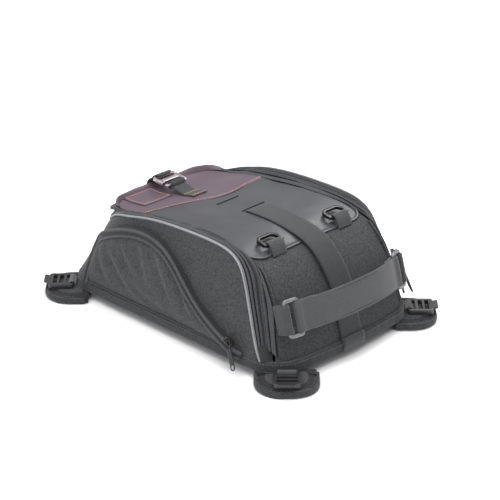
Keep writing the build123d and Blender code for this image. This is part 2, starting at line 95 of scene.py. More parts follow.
# ---- curves ----------------------------------------------------------------------------------
def smooth(points, per_span=14):
    """Dense points on a natural cubic spline through the given points."""
    p = np.array(points, float)
    step = np.linalg.norm(np.diff(p, axis=0), axis=1)[:, None]
    count = len(p)
    system = np.eye(count)
    slopes = np.diff(p, axis=0) / step
    right = np.zeros_like(p)
    for i in range(1, count - 1):
        system[i, i - 1:i + 2] = step[i - 1, 0], 2 * (step[i - 1, 0] + step[i, 0]), step[i, 0]
        right[i] = 6 * (slopes[i] - slopes[i - 1])
    bend = np.linalg.solve(system, right)
    dense = []
    for i in range(count - 1):
        h = step[i]
        t = np.linspace(0, 1, per_span, endpoint=False)[:, None]
        dense.append((1 - t) * p[i] + t * p[i + 1]
                     + h * h / 6 * (((1 - t) ** 3 - (1 - t)) * bend[i] + (t ** 3 - t) * bend[i + 1]))
    return np.vstack(dense + [p[-1:]])


def lengths(path):
    """Arc length at each point of a path."""
    return np.concatenate([[0.0], np.cumsum(np.linalg.norm(np.diff(path, axis=0), axis=1))])


def at_lengths(path, where):
    """Points of the path at the given arc lengths."""
    run = lengths(path)
    return np.stack([np.interp(where, run, path[:, k]) for k in range(path.shape[1])], axis=-1)


def evenly(path, pitch):
    """The path again, with points about one pitch apart."""
    total = lengths(path)[-1]
    return at_lengths(path, np.linspace(0, total, max(int(round(total / pitch)), 2) + 1))


def unit(v):
    """Vectors scaled to length one."""
    v = np.asarray(v, float)
    return v / np.maximum(np.linalg.norm(v, axis=-1, keepdims=True), 1e-9)


def tangents(path):
    """Unit direction at each point of a path."""
    return unit(np.gradient(path, axis=0))


def arrays(*values):
    """Numbers or arrays as arrays of one shape."""
    return np.broadcast_arrays(*(np.asarray(value, float) for value in values))


def ramp(value, low, high):
    """0 below low, 1 above high, and a smooth rise between."""
    t = np.clip((np.asarray(value, float) - low) / (high - low), 0, 1)
    return t * t * (3 - 2 * t)


# ---- surfaces --------------------------------------------------------------------------------
MIDDLE = smooth(LID_LINE)
MIDDLE_RUN = lengths(MIDDLE)
MIDDLE_TANGENT = tangents(MIDDLE)


def run_at_y(y):
    """Arc length along the lid's middle line where it passes y."""
    return np.interp(y, MIDDLE[:, 0], MIDDLE_RUN)


def run_at_z(z):
    """Arc length along the rear of the lid's middle line where it passes height z."""
    rising = np.argmax(MIDDLE[:, 1])
    return np.interp(z, MIDDLE[:rising, 1], MIDDLE_RUN[:rising])


def ripple(points, size, amount, seed=0.0):
    """Soft unevenness in millimetres, from noise with cells of about one size."""
    flat = np.asarray(points, float).reshape(-1, 3)
    values = [noise.noise(Vector(p) / size + Vector((seed, 0, 0))) for p in flat]
    return np.array(values).reshape(np.asarray(points).shape[:-1]) * amount


def swells(points, kinds, seed):
    """Several kinds of unevenness together: kinds are (size, amount, added seed)."""
    return sum(ripple(points, size, amount, seed + more) for size, amount, more in kinds)


SIDE_RUNS = [run_at_z(row[1]) if row[0] == "z" else run_at_y(row[1]) for row in LID_SIDES]
SIDE_HALVES = [row[2] for row in LID_SIDES]
SIDE_FALLS = [row[3] for row in LID_SIDES]


def lid_slope(run):
    """Direction of the lid's middle line, as its y and z parts."""
    return [np.interp(run, MIDDLE_RUN, MIDDLE_TANGENT[:, k]) for k in (0, 1)]


def lid_half(run):
    """Half width of the lid's skin."""
    return np.interp(run, SIDE_RUNS, SIDE_HALVES)


def lid_point(x, run, lift=0.0):
    """A point on the lid: x across, run along its middle line, lift above its skin."""
    x, run, lift = arrays(x, run, lift)
    y = np.interp(run, MIDDLE_RUN, MIDDLE[:, 0])
    z = np.interp(run, MIDDLE_RUN, MIDDLE[:, 1])
    ty, tz = lid_slope(run)
    fall = np.interp(run, SIDE_RUNS, SIDE_FALLS)
    height = lift - fall * np.clip(np.abs(x) / lid_half(run), 0, 1.05) ** 3.5
    return np.stack([x, y - tz * height, z + ty * height], axis=-1)


def lid_normal(x, run):
    """Outward direction of the lid's skin."""
    x, run = arrays(x, run)
    ty, tz = lid_slope(run)
    return unit(np.stack([np.zeros_like(x), -tz, ty], axis=-1))


def tub_size(z):
    """Half width, front reach and corner radius of the bag's walls at height z."""
    rise = np.maximum(np.asarray(z, float) - HEM_TOP, 0) / (TUB_TOP - HEM_TOP)
    half = HEM_HALF_WIDTH + (TOP_HALF_WIDTH - HEM_HALF_WIDTH) * rise
    front = HEM_HALF_LENGTH + (TOP_FRONT - HEM_HALF_LENGTH) * rise
    return half, front, HEM_RADIUS + (TOP_RADIUS - HEM_RADIUS) * rise


def front_radius(z):
    """Radius of the walls' two front corners, which open out towards the top."""
    rise = np.maximum(np.asarray(z, float) - HEM_TOP, 0) / (TUB_TOP - HEM_TOP)
    return HEM_RADIUS + (TOP_FRONT_RADIUS - HEM_RADIUS) * rise


def loop_point(turn, z, outset=0.0):
    """Point on the walls at height z. turn goes round from 0 at the rear middle, through 1 at the
    left middle, 2 at the front middle and 3 at the right middle, back to 4 at the rear middle."""
    turn, z, outset = arrays(turn, z, outset)
    half, front, radius = tub_size(z)
    side = np.where(turn <= 2, -1.0, 1.0)
    way = np.where(turn <= 2, turn, 4 - turn)
    radius = np.where(way <= 1, radius, front_radius(z))
    r = radius + outset
    end = np.where(way <= 1, -1.0, 1.0)
    reach = np.where(way <= 1, HEM_HALF_LENGTH, front)
    part = np.where(way <= 1, way, 2 - way)
    flat = half - radius
    straight = reach - radius
    arc_start, arc_end = 0.35, 0.65
    across = np.clip(part / arc_start, 0, 1)
    bend = np.clip((part - arc_start) / (arc_end - arc_start), 0, 1) * math.pi / 2
    along = np.clip((part - arc_end) / (1 - arc_end), 0, 1)
    x = flat * across + r * np.sin(bend)
    y = straight + r * np.cos(bend) + END_BOW * (1 - across ** 2) * (part < arc_start)
    middle = end * (front - front_radius(z) - HEM_HALF_LENGTH + tub_size(z)[2]) / 2
    y = np.where(along > 0, straight * (1 - along) + middle * along, y)
    return np.stack([side * x, end * y, z], axis=-1)


PIPING_PATH = smooth(PIPING_LINE)


def wall_top(turn):
    """Height where the wall meets the piping, going round the bag."""
    low, high = 24.0, 168.0
    for _ in range(26):
        z = (low + high) / 2
        y = loop_point(turn, z)[1]
        low, high = (z, high) if np.interp(y, PIPING_PATH[:, 0], PIPING_PATH[:, 1]) > z else (low, z)
    return low


def side_wall_point(side, y, z, out=0.0):
    """Point on the left (-1) or right (1) wall at y and z, moved outwards by out."""
    y, z, out = arrays(y, z, out)
    half, front, radius = tub_size(z)
    radius = np.where(y > 0, front_radius(z), radius)
    past = np.maximum(np.maximum(y - (front - radius), -HEM_HALF_LENGTH + radius - y), 0)
    reach = np.sqrt(np.maximum((radius + out) ** 2 - past ** 2, 0))
    return np.stack([side * (half - radius + reach), y, z], axis=-1)


# ---- meshes ----------------------------------------------------------------------------------
def new_piece(name, verts, faces, material, sharp=50.0):
    """A mesh object from millimetre points, with its faces turned outwards and shaded smooth."""
    mesh = bpy.data.meshes.new(name)
    mesh.from_pydata([tuple(float(c) * MM for c in v) for v in verts], [], faces)
    work = bmesh.new()
    work.from_mesh(mesh)
    bmesh.ops.remove_doubles(work, verts=work.verts, dist=1e-6)
    bmesh.ops.recalc_face_normals(work, faces=work.faces)
    work.to_mesh(mesh)
    work.free()
    mesh.shade_smooth()
    mesh.set_sharp_from_angle(angle=math.radians(sharp))
    mesh.materials.append(material)
    piece = bpy.data.objects.new(name, mesh)
    bpy.context.scene.collection.objects.link(piece)
    return piece


def grid_faces(rows, columns, first=0, wrap=False):
    """Quads over a grid of vertices stored row by row."""
    last = columns if wrap else columns - 1
    return [
        (first + r * columns + c, first + r * columns + (c + 1) % columns,
         first + (r + 1) * columns + (c + 1) % columns, first + (r + 1) * columns + c)
        for r in range(rows - 1) for c in range(last)
    ]


def end_faces(rows, columns):
    """Faces that close the first and last ring of a tube."""
    return [tuple(range(columns)), tuple(range(rows * columns - 1, (rows - 1) * columns - 1, -1))]


def slab(name, outer, inner, material):
    """Closed sheet between an outer and an inner grid of points."""
    rows, columns = outer.shape[:2]
    count = rows * columns
    faces = grid_faces(rows, columns) + grid_faces(rows, columns, count)
    rim = [(r, 0) for r in range(rows)] + [(rows - 1, c) for c in range(1, columns)]
    rim += [(r, columns - 1) for r in range(rows - 2, -1, -1)] + [(0, c) for c in range(columns - 2, 0, -1)]
    ids = [r * columns + c for r, c in rim]
    for a, b in zip(ids, ids[1:] + ids[:1]):
        faces.append((a, b, b + count, a + count))
    return new_piece(name, np.vstack([outer.reshape(-1, 3), inner.reshape(-1, 3)]), faces, material)


def sweep(name, path, normals, profile, material, closed=False):
    """A closed profile of (side, up) points carried along a path."""
    path = np.asarray(path, float)
    along = np.roll(path, -1, axis=0) - np.roll(path, 1, axis=0) if closed else tangents(path)
    side = unit(np.cross(along, np.broadcast_to(np.asarray(normals, float), path.shape)))
    up = unit(np.cross(side, along))
    profile = np.asarray(profile, float)
    verts = path[:, None] + profile[None, :, :1] * side[:, None] + profile[None, :, 1:] * up[:, None]
    rows, columns = verts.shape[:2]
    faces = grid_faces(rows, columns, wrap=True)
    if closed:
        last = (rows - 1) * columns
        faces += [(last + c, last + (c + 1) % columns, (c + 1) % columns, c) for c in range(columns)]
    else:
        faces += end_faces(rows, columns)
    return new_piece(name, verts.reshape(-1, 3), faces, material)


def round_profile(radius, sides=10):
    """Circle profile."""
    turn = np.arange(sides) * 2 * math.pi / sides
    return np.stack([radius * np.cos(turn), radius * np.sin(turn)], axis=-1)


def tape_profile(width, thick, low=0.0, steps=8, crown=0.0):
    """Flat tape with rounded edges, its underside at height low and its middle raised by crown."""
    r = thick / 2
    half = width / 2 - r
    u = np.linspace(-half, half, steps)
    rise = crown * (1 - (u / half) ** 2)
    top = np.stack([u, low + thick + rise], axis=-1)
    bottom = np.stack([u[::-1], low + rise[::-1]], axis=-1)
    turn = np.linspace(math.pi / 2, -math.pi / 2, 5)[1:-1]
    right = np.stack([half + r * np.cos(turn), low + r + r * np.sin(turn)], axis=-1)
    left = np.stack([-half - r * np.cos(turn), low + r - r * np.sin(turn)], axis=-1)
    return np.vstack([top, right, bottom, left])


BEAD_SIDES = 6
BEAD_STATIONS = [(-1.0, 0.35), (-0.75, 0.85), (0.75, 0.85), (1.0, 0.35)]


def beads(name, path, normals, pitch, size, lift, material):
    """A row of small rounded bars along a path: size is half lengths along, across and up."""
    path = np.asarray(path, float)
    normals = np.broadcast_to(np.asarray(normals, float), path.shape)
    run = lengths(path)
    where = np.arange(pitch / 2, run[-1], pitch)
    spots = at_lengths(path, where)
    ups = unit(np.stack([np.interp(where, run, normals[:, k]) for k in range(3)], axis=-1))
    ahead = unit(at_lengths(path, where + 0.2) - at_lengths(path, where - 0.2))
    side = unit(np.cross(ahead, ups))
    turn = np.arange(BEAD_SIDES) * 2 * math.pi / BEAD_SIDES
    bar = np.array([(a, w * math.cos(t), w * math.sin(t)) for a, w in BEAD_STATIONS for t in turn]) * size
    verts = (spots + ups * lift)[:, None] + (
        bar[None, :, :1] * ahead[:, None] + bar[None, :, 1:2] * side[:, None] + bar[None, :, 2:] * ups[:, None])
    one = grid_faces(len(BEAD_STATIONS), BEAD_SIDES, wrap=True) + end_faces(len(BEAD_STATIONS), BEAD_SIDES)
    faces = [tuple(i + n * len(bar) for i in f) for n in range(len(spots)) for f in one]
    return new_piece(name, verts.reshape(-1, 3), faces, material, 80)


def label_piece(piece, replaced):
    """Hides the CAD nodes that a piece stands for, and returns the piece."""
    if replaced:
        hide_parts(*replaced)
    return piece


def attach(piece, body, slot, *replaced):
    """Puts a finished piece on its CAD body."""
    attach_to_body(piece, body)
    return label_piece(piece, replaced)


def tube(body, slot, name, path, normals, profile, material, *replaced):
    """A profile swept along a path, on its body."""
    attach(sweep(name, path, normals, profile, material), body, slot, *replaced)


def bead_row(body, slot, *row):
    """A row of stitches or zip teeth, on its body."""
    attach(beads(*row), body, slot)


def across_hinge(piece, slot, *replaced):
    """Bakes the transform of a piece of the rear panel that runs over the lid's fabric hinge, and hides the CAD
    nodes that it replaces.
    """
    start, end = [(0, HINGE_Y * MM, z * MM) for z in HINGE_SPAN]
    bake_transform(piece)
    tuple(start)
    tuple(end)
    return label_piece(piece, replaced)


# ---- materials -------------------------------------------------------------------------------
class Surface:
    """A principled material being built in object space."""

    def __init__(self, name, color, roughness, metallic=0.0, sheen=0.0, specular=0.5):
        self.material = bpy.data.materials.new(name)
        self.material.use_nodes = True
        self.tree = self.material.node_tree
        self.shader = self.tree.nodes["Principled BSDF"]
        self.color = color
        for socket, value in (("Base Color", (*color, 1)), ("Roughness", roughness), ("Metallic", metallic),
                              ("Sheen Weight", sheen), ("Specular IOR Level", specular)):
            self.shader.inputs[socket].default_value = value
        self.place = self.node("TexCoord").outputs["Object"]

    def node(self, kind, sockets=(), **settings):
        """A new node, with its sockets linked to a source or set to a constant."""
        node = self.tree.nodes.new("ShaderNode" + kind)
        for key, value in settings.items():
            setattr(node, key, value)
        for key, value in sockets:
            if isinstance(value, bpy.types.NodeSocket):
                self.tree.links.new(value, node.inputs[key])
            else:
                node.inputs[key].default_value = value
        return node

    def drive(self, socket, source):
        """Links a source to the shader."""
        self.tree.links.new(source, self.shader.inputs[socket])

    def noise(self, scale, detail=2.0, stretch=None):
        """Noise as a factor."""
        place = self.place
        if stretch:
            place = self.node("Mapping", [("Scale", stretch), ("Vector", place)]).outputs["Vector"]
        node = self.node("TexNoise", [("Scale", scale), ("Detail", detail), ("Vector", place)])
        return node.outputs["Fac"]

    def tones(self, source, low, darker, high, lighter):
        """The colour made darker below one factor and lighter above another."""
        node = self.node("ValToRGB", [("Fac", source)])
        for stop, position, gain in zip(node.color_ramp.elements, (low, high), (darker, lighter)):
            stop.position = position
            stop.color = (*(c * gain for c in self.color), 1)
        return node.outputs["Color"]

    def colour(self, first, second, factor):
        """Two colours mixed as the base colour."""
        node = self.node("Mix", [("Factor", factor), ("A", first), ("B", second)], data_type="RGBA")
        self.drive("Base Color", node.outputs["Result"])

    def vary_roughness(self, source, low, high):
        """Roughness between two values."""
        node = self.node("MapRange", [("To Min", low), ("To Max", high), ("Value", source)])
        self.drive("Roughness", node.outputs["Result"])

    def bump(self, *heights):
        """Bumps one on top of another: heights are (factor, strength, distance in metres)."""
        last = []
        for source, strength, distance in heights:
            node = self.node("Bump", [("Strength", strength), ("Distance", distance),
                                      ("Height", source)] + last)
            last = [("Normal", node.outputs["Normal"])]
        self.drive(*last[0])

    def weave(self, pitch, directions="XYZ"):
        """Woven threads about one pitch apart, as a height."""
        total = None
        for axis in directions:
            wave = self.node("TexWave", [("Scale", 0.314 / pitch), ("Distortion", 1.2), ("Detail", 1),
                                         ("Vector", self.place)], bands_direction=axis).outputs["Fac"]
            total = wave if total is None else self.node(
                "Math", [(0, total), (1, wave)], operation="MULTIPLY").outputs["Value"]
        return total


def fabric_material(name, color, pitch=0.0011, contrast=0.35, roughness=0.85, sheen=0.25):
    """Woven cloth: mottled salt-and-pepper threads over slow tonal variation."""
    cloth = Surface(name, color, roughness, sheen=sheen, specular=0.25)
    cloth.shader.inputs["Sheen Roughness"].default_value = 0.5
    fleck = cloth.noise(0.55 / pitch, 3)
    speckle = cloth.tones(fleck, 0.35, 1 - contrast, 0.65, 1 + contrast)
    cloth.colour(speckle, cloth.tones(cloth.noise(28, 3), 0.3, 0.9, 0.7, 1.12), 0.4)
    cloth.bump((cloth.weave(pitch), 0.5, 0.0004), (fleck, 0.35, 0.0003))
    return cloth.material


def webbing_material(name, color, axis="Y", pitch=0.0016):
    """Ribbed strap webbing."""
    tape = Surface(name, color, 0.75, sheen=0.3, specular=0.3)
    tape.shader.inputs["Sheen Roughness"].default_value = 0.45
    fleck = tape.noise(900)
    speckle = tape.tones(fleck, 0.35, 0.72, 0.65, 1.3)
    tape.colour(speckle, tape.tones(tape.noise(60), 0.3, 0.9, 0.7, 1.1), 0.45)
    tape.bump((tape.weave(pitch, axis), 0.6, 0.0005), (fleck, 0.3, 0.0002))
    return tape.material


def coated_material(name, color, roughness, grain, slow_bump):
    """Coated or tanned skin: fine pebble grain, slow tonal change and soft dents."""
    skin = Surface(name, color, roughness)
    pebble = skin.node("TexVoronoi", [("Scale", grain), ("Vector", skin.place)])
    slow, fine = skin.noise(14, 4), skin.noise(260, 3)
    skin.colour(skin.tones(slow, 0.3, 0.86, 0.7, 1.14), skin.tones(fine, 0.3, 0.88, 0.7, 1.12), 0.4)
    skin.vary_roughness(fine, roughness - 0.06, roughness + 0.08)
    skin.bump((pebble.outputs["Distance"], 0.25, 0.0003), (slow, slow_bump, 0.004))
    return skin.material


def hard_material(name, color, roughness, metallic=0.0, grain=700, bump=0.1, stretch=None):
    """Moulded plastic, rubber, thread or metal with faint wear."""
    hard = Surface(name, color, roughness, metallic)
    slow = hard.noise(120, 3)
    hard.drive("Base Color", hard.tones(slow, 0.3, 0.85, 0.7, 1.2))
    hard.vary_roughness(slow, max(roughness - 0.08, 0.05), roughness + 0.1)
    hard.bump((hard.noise(grain, stretch=stretch), bump, 0.0003))
    return hard.material


CLOTH = fabric_material("charcoal_cloth", (0.040, 0.041, 0.043), contrast=0.75, sheen=0.12)
CLOTH_DARK = fabric_material("dark_cloth", (0.018, 0.018, 0.020), contrast=0.5, sheen=0.1)
BINDING = fabric_material("binding_tape", (0.030, 0.031, 0.034), pitch=0.0014, contrast=0.6, sheen=0.15)
WELT = fabric_material("welt_cloth", (0.052, 0.053, 0.058), contrast=0.35, roughness=0.7, sheen=0.15)
SKIN = coated_material("coated_skin", (0.047, 0.048, 0.054), 0.38, 900, 0.25)
LEATHER = coated_material("brown_leather", (0.094, 0.066, 0.086), 0.48, 700, 0.3)
WEBBING = webbing_material("ribbed_webbing", (0.043, 0.044, 0.046))
WEBBING_DARK = webbing_material("dark_webbing", (0.022, 0.023, 0.025), axis="X")
HANDLE_TAPE = webbing_material("handle_webbing", (0.060, 0.061, 0.064), axis="Z")
PIPING = fabric_material("reflective_piping", (0.24, 0.24, 0.255), contrast=0.15, roughness=0.45, sheen=0.1)
PIPING_FLANGE = fabric_material("piping_flange", (0.15, 0.15, 0.16), contrast=0.15, roughness=0.5, sheen=0.1)
# Near-black painted shade, laid as thin lines in grooves, gaps and slots where shade falls.
SHADOW = fabric_material("painted_gap_shade", (0.004, 0.004, 0.004), contrast=0.1, sheen=0.0)
ORANGE = hard_material("tan_thread", (0.62, 0.33, 0.20), 0.7)
BLACK_THREAD = hard_material("black_thread", (0.012, 0.012, 0.013), 0.7)
GREY_THREAD = hard_material("grey_thread", (0.12, 0.12, 0.125), 0.7)
COIL = hard_material("nylon_coil", (0.014, 0.014, 0.015), 0.3)
HOOK_METAL = hard_material("satin_hook", (0.62, 0.56, 0.58), 0.34, 1.0, 300, 0.15, (1, 12, 1))
RING_METAL = hard_material("grey_ring", (0.22, 0.22, 0.23), 0.4, 0.7)
GLOSS_BLACK = hard_material("gloss_black", (0.008, 0.008, 0.009), 0.22)
ACETAL = hard_material("black_acetal", (0.022, 0.022, 0.024), 0.32, grain=500, bump=0.15)
ENAMEL = hard_material("black_enamel", (0.014, 0.014, 0.014), 0.25, 0.3)
RUBBER = hard_material("soft_rubber", (0.016, 0.016, 0.017), 0.5, bump=0.3)
FOAM = fabric_material("foam_sheet", (0.12, 0.12, 0.125), contrast=0.25)
BOARD = hard_material("stiff_board", (0.03, 0.03, 0.032), 0.6)


# ---- lines on the bag ------------------------------------------------------------------------
def mirrored(path):
    """The path on the other side of the bag."""
    return path * np.array([-1.0, 1.0, 1.0])


# Places round the left half of the bag, closest together where the piping is steep. Beyond
# SIDE_END they belong to the front wall.
SIDE_END, WALL_LAP, REAR_REACH = 1.62, 0.02, 0.58
WALL_TURNS = np.concatenate([np.linspace(0.594, 0.66, 12), np.linspace(0.67, 1.34, 80),
                             np.linspace(1.35, 2.0, 60)])
WALL_TOPS = np.array([wall_top(t) for t in WALL_TURNS])


def whole_line(half):
    """A line on the left side and its mirror image as one, from the left rear to the right rear."""
    half = np.asarray(half, float)
    return np.vstack([half, mirrored(half[:-1])[::-1]])


def matched(path, count):
    """The path with a set number of points, so that lines pair up."""
    return at_lengths(path, np.linspace(0, lengths(path)[-1], count))


BAND_COUNT, BAND_BOW = 420, 1.6
LINES = {
    0.0: matched(smooth(whole_line(ZIP_LINE), 12), BAND_COUNT),
    1.0: matched(whole_line(loop_point(WALL_TURNS, WALL_TOPS)), BAND_COUNT),
}
BAND_NORMAL = unit(np.cross(tangents(LINES[0.0] + LINES[1.0]), LINES[1.0] - LINES[0.0]))
BAND_NORMAL *= np.sign(BAND_NORMAL[:, 2:3].mean())


def on_band(f, lift=0.0):
    """Points at share f across the zip band, lifted off it."""
    bow = BAND_BOW * 4 * f * (1 - f)
    return LINES[0.0] * (1 - f) + LINES[1.0] * f + BAND_NORMAL * (lift + bow)


# The lid's rim: where it starts at the rear, as heights of the skin's edge and of the zip, and
# the line of the skin's edge round the front.
RIM_SKIN_START, RIM_ZIP_START, RIM_SIDE_END = 36.0, 40.0, 118.0
RIM_FRONT = [(-89, 133, 127.5), (-78, 143, 127.0), (-58, 148, 127.0), (-25, 149.5, 127.0), (0, 150, 127.0)]


def rim_lines():
    """The edge of the lid's skin, and the zip beside it, as two lines with paired points."""
    runs = np.linspace(run_at_z(RIM_SKIN_START), run_at_y(RIM_SIDE_END), 60)
    side = lid_point(-lid_half(runs), runs, 0.4)
    inner = smooth(whole_line(np.vstack([side[::3], RIM_FRONT])), 8)
    zip_side = smooth(ZIP_LINE, 12)
    outer = whole_line(zip_side[int(np.argmax(zip_side[:, 2] > RIM_ZIP_START)):])
    return matched(inner, BAND_COUNT), matched(outer, BAND_COUNT)


# ---- fixed tub -------------------------------------------------------------------------------
WALL_SWELLS, WALL_FILL = [(42, 2.2, 0), (17, 0.8, 3)], 0.6


def wall_piece(name, turns, low, tops, material, seed, steps=26):
    """Cloth wall between two heights over a stretch of the loop round the bag."""
    t, share = np.meshgrid(turns, np.linspace(0, 1, steps), indexing="ij")
    z = low + (np.broadcast_to(np.asarray(tops, float)[:, None], t.shape) - low) * share
    held = np.minimum(share, 1 - share) * 4
    outer = loop_point(t, z, 0.0)
    outer = loop_point(t, z, np.clip(held, 0, 1) * (swells(outer, WALL_SWELLS, seed) + WALL_FILL))
    inner = loop_point(t, z, -WALL_THICK)
    return slab(name, outer, inner, material)


def make_walls():
    """Side walls, front wall and the low strip at the rear."""
    sides = WALL_TURNS < SIDE_END + WALL_LAP
    for name, turns in (("left", WALL_TURNS[sides]), ("right", 4 - WALL_TURNS[sides])):
        attach(wall_piece(f"side_wall_{name}_cloth", turns, HEM_BOTTOM + 1, WALL_TOPS[sides], CLOTH, 1.0),
               "root", "shell_fabric", f"side_wall_{name}")
    ends = WALL_TURNS > SIDE_END - WALL_LAP
    turns = np.concatenate([WALL_TURNS[ends], (4 - WALL_TURNS[ends])[::-1][1:]])
    tops = np.concatenate([WALL_TOPS[ends], WALL_TOPS[ends][::-1][1:]])
    attach(wall_piece("front_wall_cloth", turns, HEM_BOTTOM + 1, tops, CLOTH, 2.0), "root", "shell_fabric",
           "front_wall")
    rear = np.linspace(-REAR_REACH, REAR_REACH, 60) % 4
    attach(wall_piece("rear_low_cloth", rear, HEM_BOTTOM + 1, np.full(len(rear), HINGE_Z - 4.0), CLOTH, 3.0,
                      8), "root", "shell_fabric", "rear_lower_wall")


HEM_MIDDLE = (HEM_BOTTOM + HEM_TOP) / 2
HEM_PROFILE = [(-7.3, 0.2), (-7.0, 1.4), (-5.8, 1.9), (-2, 2.0), (2, 2.0), (5.8, 1.9), (7.0, 1.4), (7.3, 0.2),
               (5.5, -1.2), (-5.5, -1.2)]
HEM_STITCHES = {"upper": 5.0, "lower": -5.6}


def make_hem():
    """Folded binding round the hem and its two rows of stitching."""
    turns = np.linspace(0, 4, 361)[:-1]
    path = loop_point(turns, HEM_MIDDLE)
    normals = path - loop_point(turns, HEM_MIDDLE, -10.0)
    soft = 0.35 * np.sin(turns * 91) + ripple(path, 20, 0.8)
    path = path + unit(normals) * soft[:, None] * 0.4
    path[:, 2] += ripple(path, 55, 1.0, 5.0)
    binding = sweep("hem_binding_tape", path, normals, HEM_PROFILE, BINDING, closed=True)
    attach(binding, "root", "binding", "hem_binding")
    for name, height in HEM_STITCHES.items():
        line = path + np.array([0, 0, height])
        line = np.vstack([line, line[:1]])
        bead_row("root", "binding", f"hem_stitches_{name}", line, np.vstack([normals, normals[:1]]), 3.6,
                 (1.3, 0.34, 0.34), 2.0, GREY_THREAD)


def rounded_pad(name, half_width, half_length, radius, low, high, edge, material):
    """Flat pad with a rounded outline and soft edges."""
    rings = []
    steps = [(low, edge), (low + edge * 0.3, edge * 0.3), (low + edge, 0.0), (high - edge, 0.0),
             (high - edge * 0.3, edge * 0.3), (high, edge), (high, edge + 24)]
    for z, inset in steps:
        ring = []
        for n, (sx, sy) in enumerate(((1, 1), (-1, 1), (-1, -1), (1, -1))):
            for a in np.linspace(0, math.pi / 2, 9):
                bend = a + n * math.pi / 2
                r = max(radius - inset, 2.0)
                ring.append((sx * (half_width - radius) + r * math.cos(bend),
                             sy * (half_length - radius) + r * math.sin(bend), z))
        rings.append(ring)
    rings = np.array(rings)
    rows, columns = rings.shape[:2]
    faces = grid_faces(rows, columns, wrap=True) + end_faces(rows, columns)
    return new_piece(name, rings.reshape(-1, 3), faces, material)


UNDERSIDE_SPAN = (0.4, 10.8)


def make_underside():
    """Padded underside."""
    low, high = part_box("underside_pad")
    half = (high - low) / 2 / MM
    pad = rounded_pad("underside_padding", half.x - 1, half.y - 3, 30.0, *UNDERSIDE_SPAN, 3.0, CLOTH_DARK)
    attach(pad, "root", "base_fabric", "underside_pad")


# ---- zip round the lid -----------------------------------------------------------------------
# Cords along the zip band: share across it, radius and material. The groove and trench cords are near-black
# lines of painted shade.
BAND_CORDS = {
    "inner": (0.36, 1.2, WELT), "outer": (0.64, 1.4, WELT),
    "groove_shade": (0.5, 0.8, SHADOW), "trench_shade": (0.8, 0.9, SHADOW),
}
PIPING_RADIUS, FLANGE_RADIUS = 1.35, 0.9
GARAGE_POINTS, GARAGE_SHARES = 10, np.linspace(-0.55, 0.86, 7)


def make_zip():
    """Fixed half of the zip band: tape, coil, two welts, near-black lines of painted shade in its groove and
    trench, and the reflective piping.
    """
    fractions = np.linspace(0.0, 1.0, 9)
    outer, inner = (np.stack([on_band(f, lift) for f in fractions], axis=1) for lift in (0.2, -2.6))
    attach(slab("zip_band_cloth", outer, inner, WELT), "root", "zip_tape", "zip_band_left", "zip_band_right",
           "front_zip_tape")
    # The groove and trench cords are painted shade.
    for name, (f, radius, material) in BAND_CORDS.items():
        tube("root", "zip_tape", f"zip_welt_{name}", on_band(f, 0.3), BAND_NORMAL, round_profile(radius),
             material)
    tube("root", "zip_tape", "zip_tape_fixed", on_band(0.12, 0.2), BAND_NORMAL, tape_profile(4.6, 0.8),
         CLOTH_DARK)
    bead_row("root", "zip_tape", "zip_coil", on_band(0.045, 1.1), BAND_NORMAL, 1.5, (0.55, 1.7, 0.7), 0.0,
             COIL)
    split = BAND_COUNT // 2
    edge = on_band(1.0, 0.6)
    for name, part, normals in (("left", edge[:split], BAND_NORMAL[:split]),
                                ("right", edge[split - 1:], BAND_NORMAL[split - 1:])):
        tube("root", "piping", f"reflective_piping_{name}", part, normals, round_profile(PIPING_RADIUS, 12),
             PIPING, f"piping_{name}")
    flange = on_band(0.87, 0.5)
    tube("root", "piping", "piping_flange", flange, BAND_NORMAL, round_profile(FLANGE_RADIUS), PIPING_FLANGE)
    rows = np.arange(GARAGE_POINTS)
    for name, part in (("left", rows), ("right", BAND_COUNT - 1 - rows)):
        over = np.stack([on_band(f, 1.8 + 2 * max(-f, 0))[part] for f in GARAGE_SHARES], axis=1)
        under = np.stack([on_band(f, -0.6)[part] for f in GARAGE_SHARES], axis=1)
        attach(slab(f"zip_garage_{name}", over, under, WEBBING_DARK), "root", "zip_tape")


# Cords along the lid's rim: share across it, lift, radius and material. The seam and groove cords are
# near-black lines of painted shade.
RIM_CORDS = {
    "seam": (0.02, 0.2, 0.8, SHADOW), "welt": (0.97, 0.5, 1.2, WELT),
    "groove_shade": (0.5, 0.4, 0.6, SHADOW), "rib": (0.68, 0.5, 1.0, WELT),
}
RIM_HUMP, RIM_FRONT_HUMP, RIM_THICK = 1.6, 9.5, 2.2
LEATHER_RIM_Y, LEATHER_RIM_SHARE = 126.0, 0.45


def make_lid_rim():
    """Lid half of the zip: a padded strip between the skin and the zip, with its welt and rib, and near-black
    lines of painted shade along its seam and groove. The strip stands up higher round the front, where the
    leather runs up onto it."""
    inner, outer = rim_lines()
    across = outer - inner
    up = unit(np.cross(tangents(inner), across))
    up *= np.sign(up[:, 2:].mean())
    front = ramp(inner[:, 1], 112, 146)[:, None]
    up = unit(up * (1 - front) + np.array([0, 0.3, 1.0]) * front)
    hump = RIM_HUMP + RIM_FRONT_HUMP * front
    soft = ripple(inner, 26, 1.4, 8.0)[:, None]

    def on_rim_strip(share, lift, rise):
        return inner + across * share + up * (math.sin(math.pi * share) * rise + lift)

    def layer(shares, lift):
        return np.stack([on_rim_strip(u, lift, hump + soft) for u in shares], axis=1)

    shares = np.linspace(0, 1, 9)
    attach(slab("lid_rim_strip", layer(shares, 0.3), layer(shares, 0.3 - RIM_THICK), WELT), "lid", "zip_tape",
           "lid_zip_tape_left", "lid_zip_tape_right")
    ahead = inner[:, 1] > LEATHER_RIM_Y
    shares = np.linspace(0, LEATHER_RIM_SHARE, 6)
    attach(slab("leather_rim", layer(shares, 1.5)[ahead], layer(shares, 0.5)[ahead], LEATHER), "lid",
           "leather")
    for name, (share, lift, radius, material) in RIM_CORDS.items():
        line = on_rim_strip(share, lift, hump)
        tube("lid", "zip_tape", f"lid_rim_{name}", line, up, round_profile(radius), material)


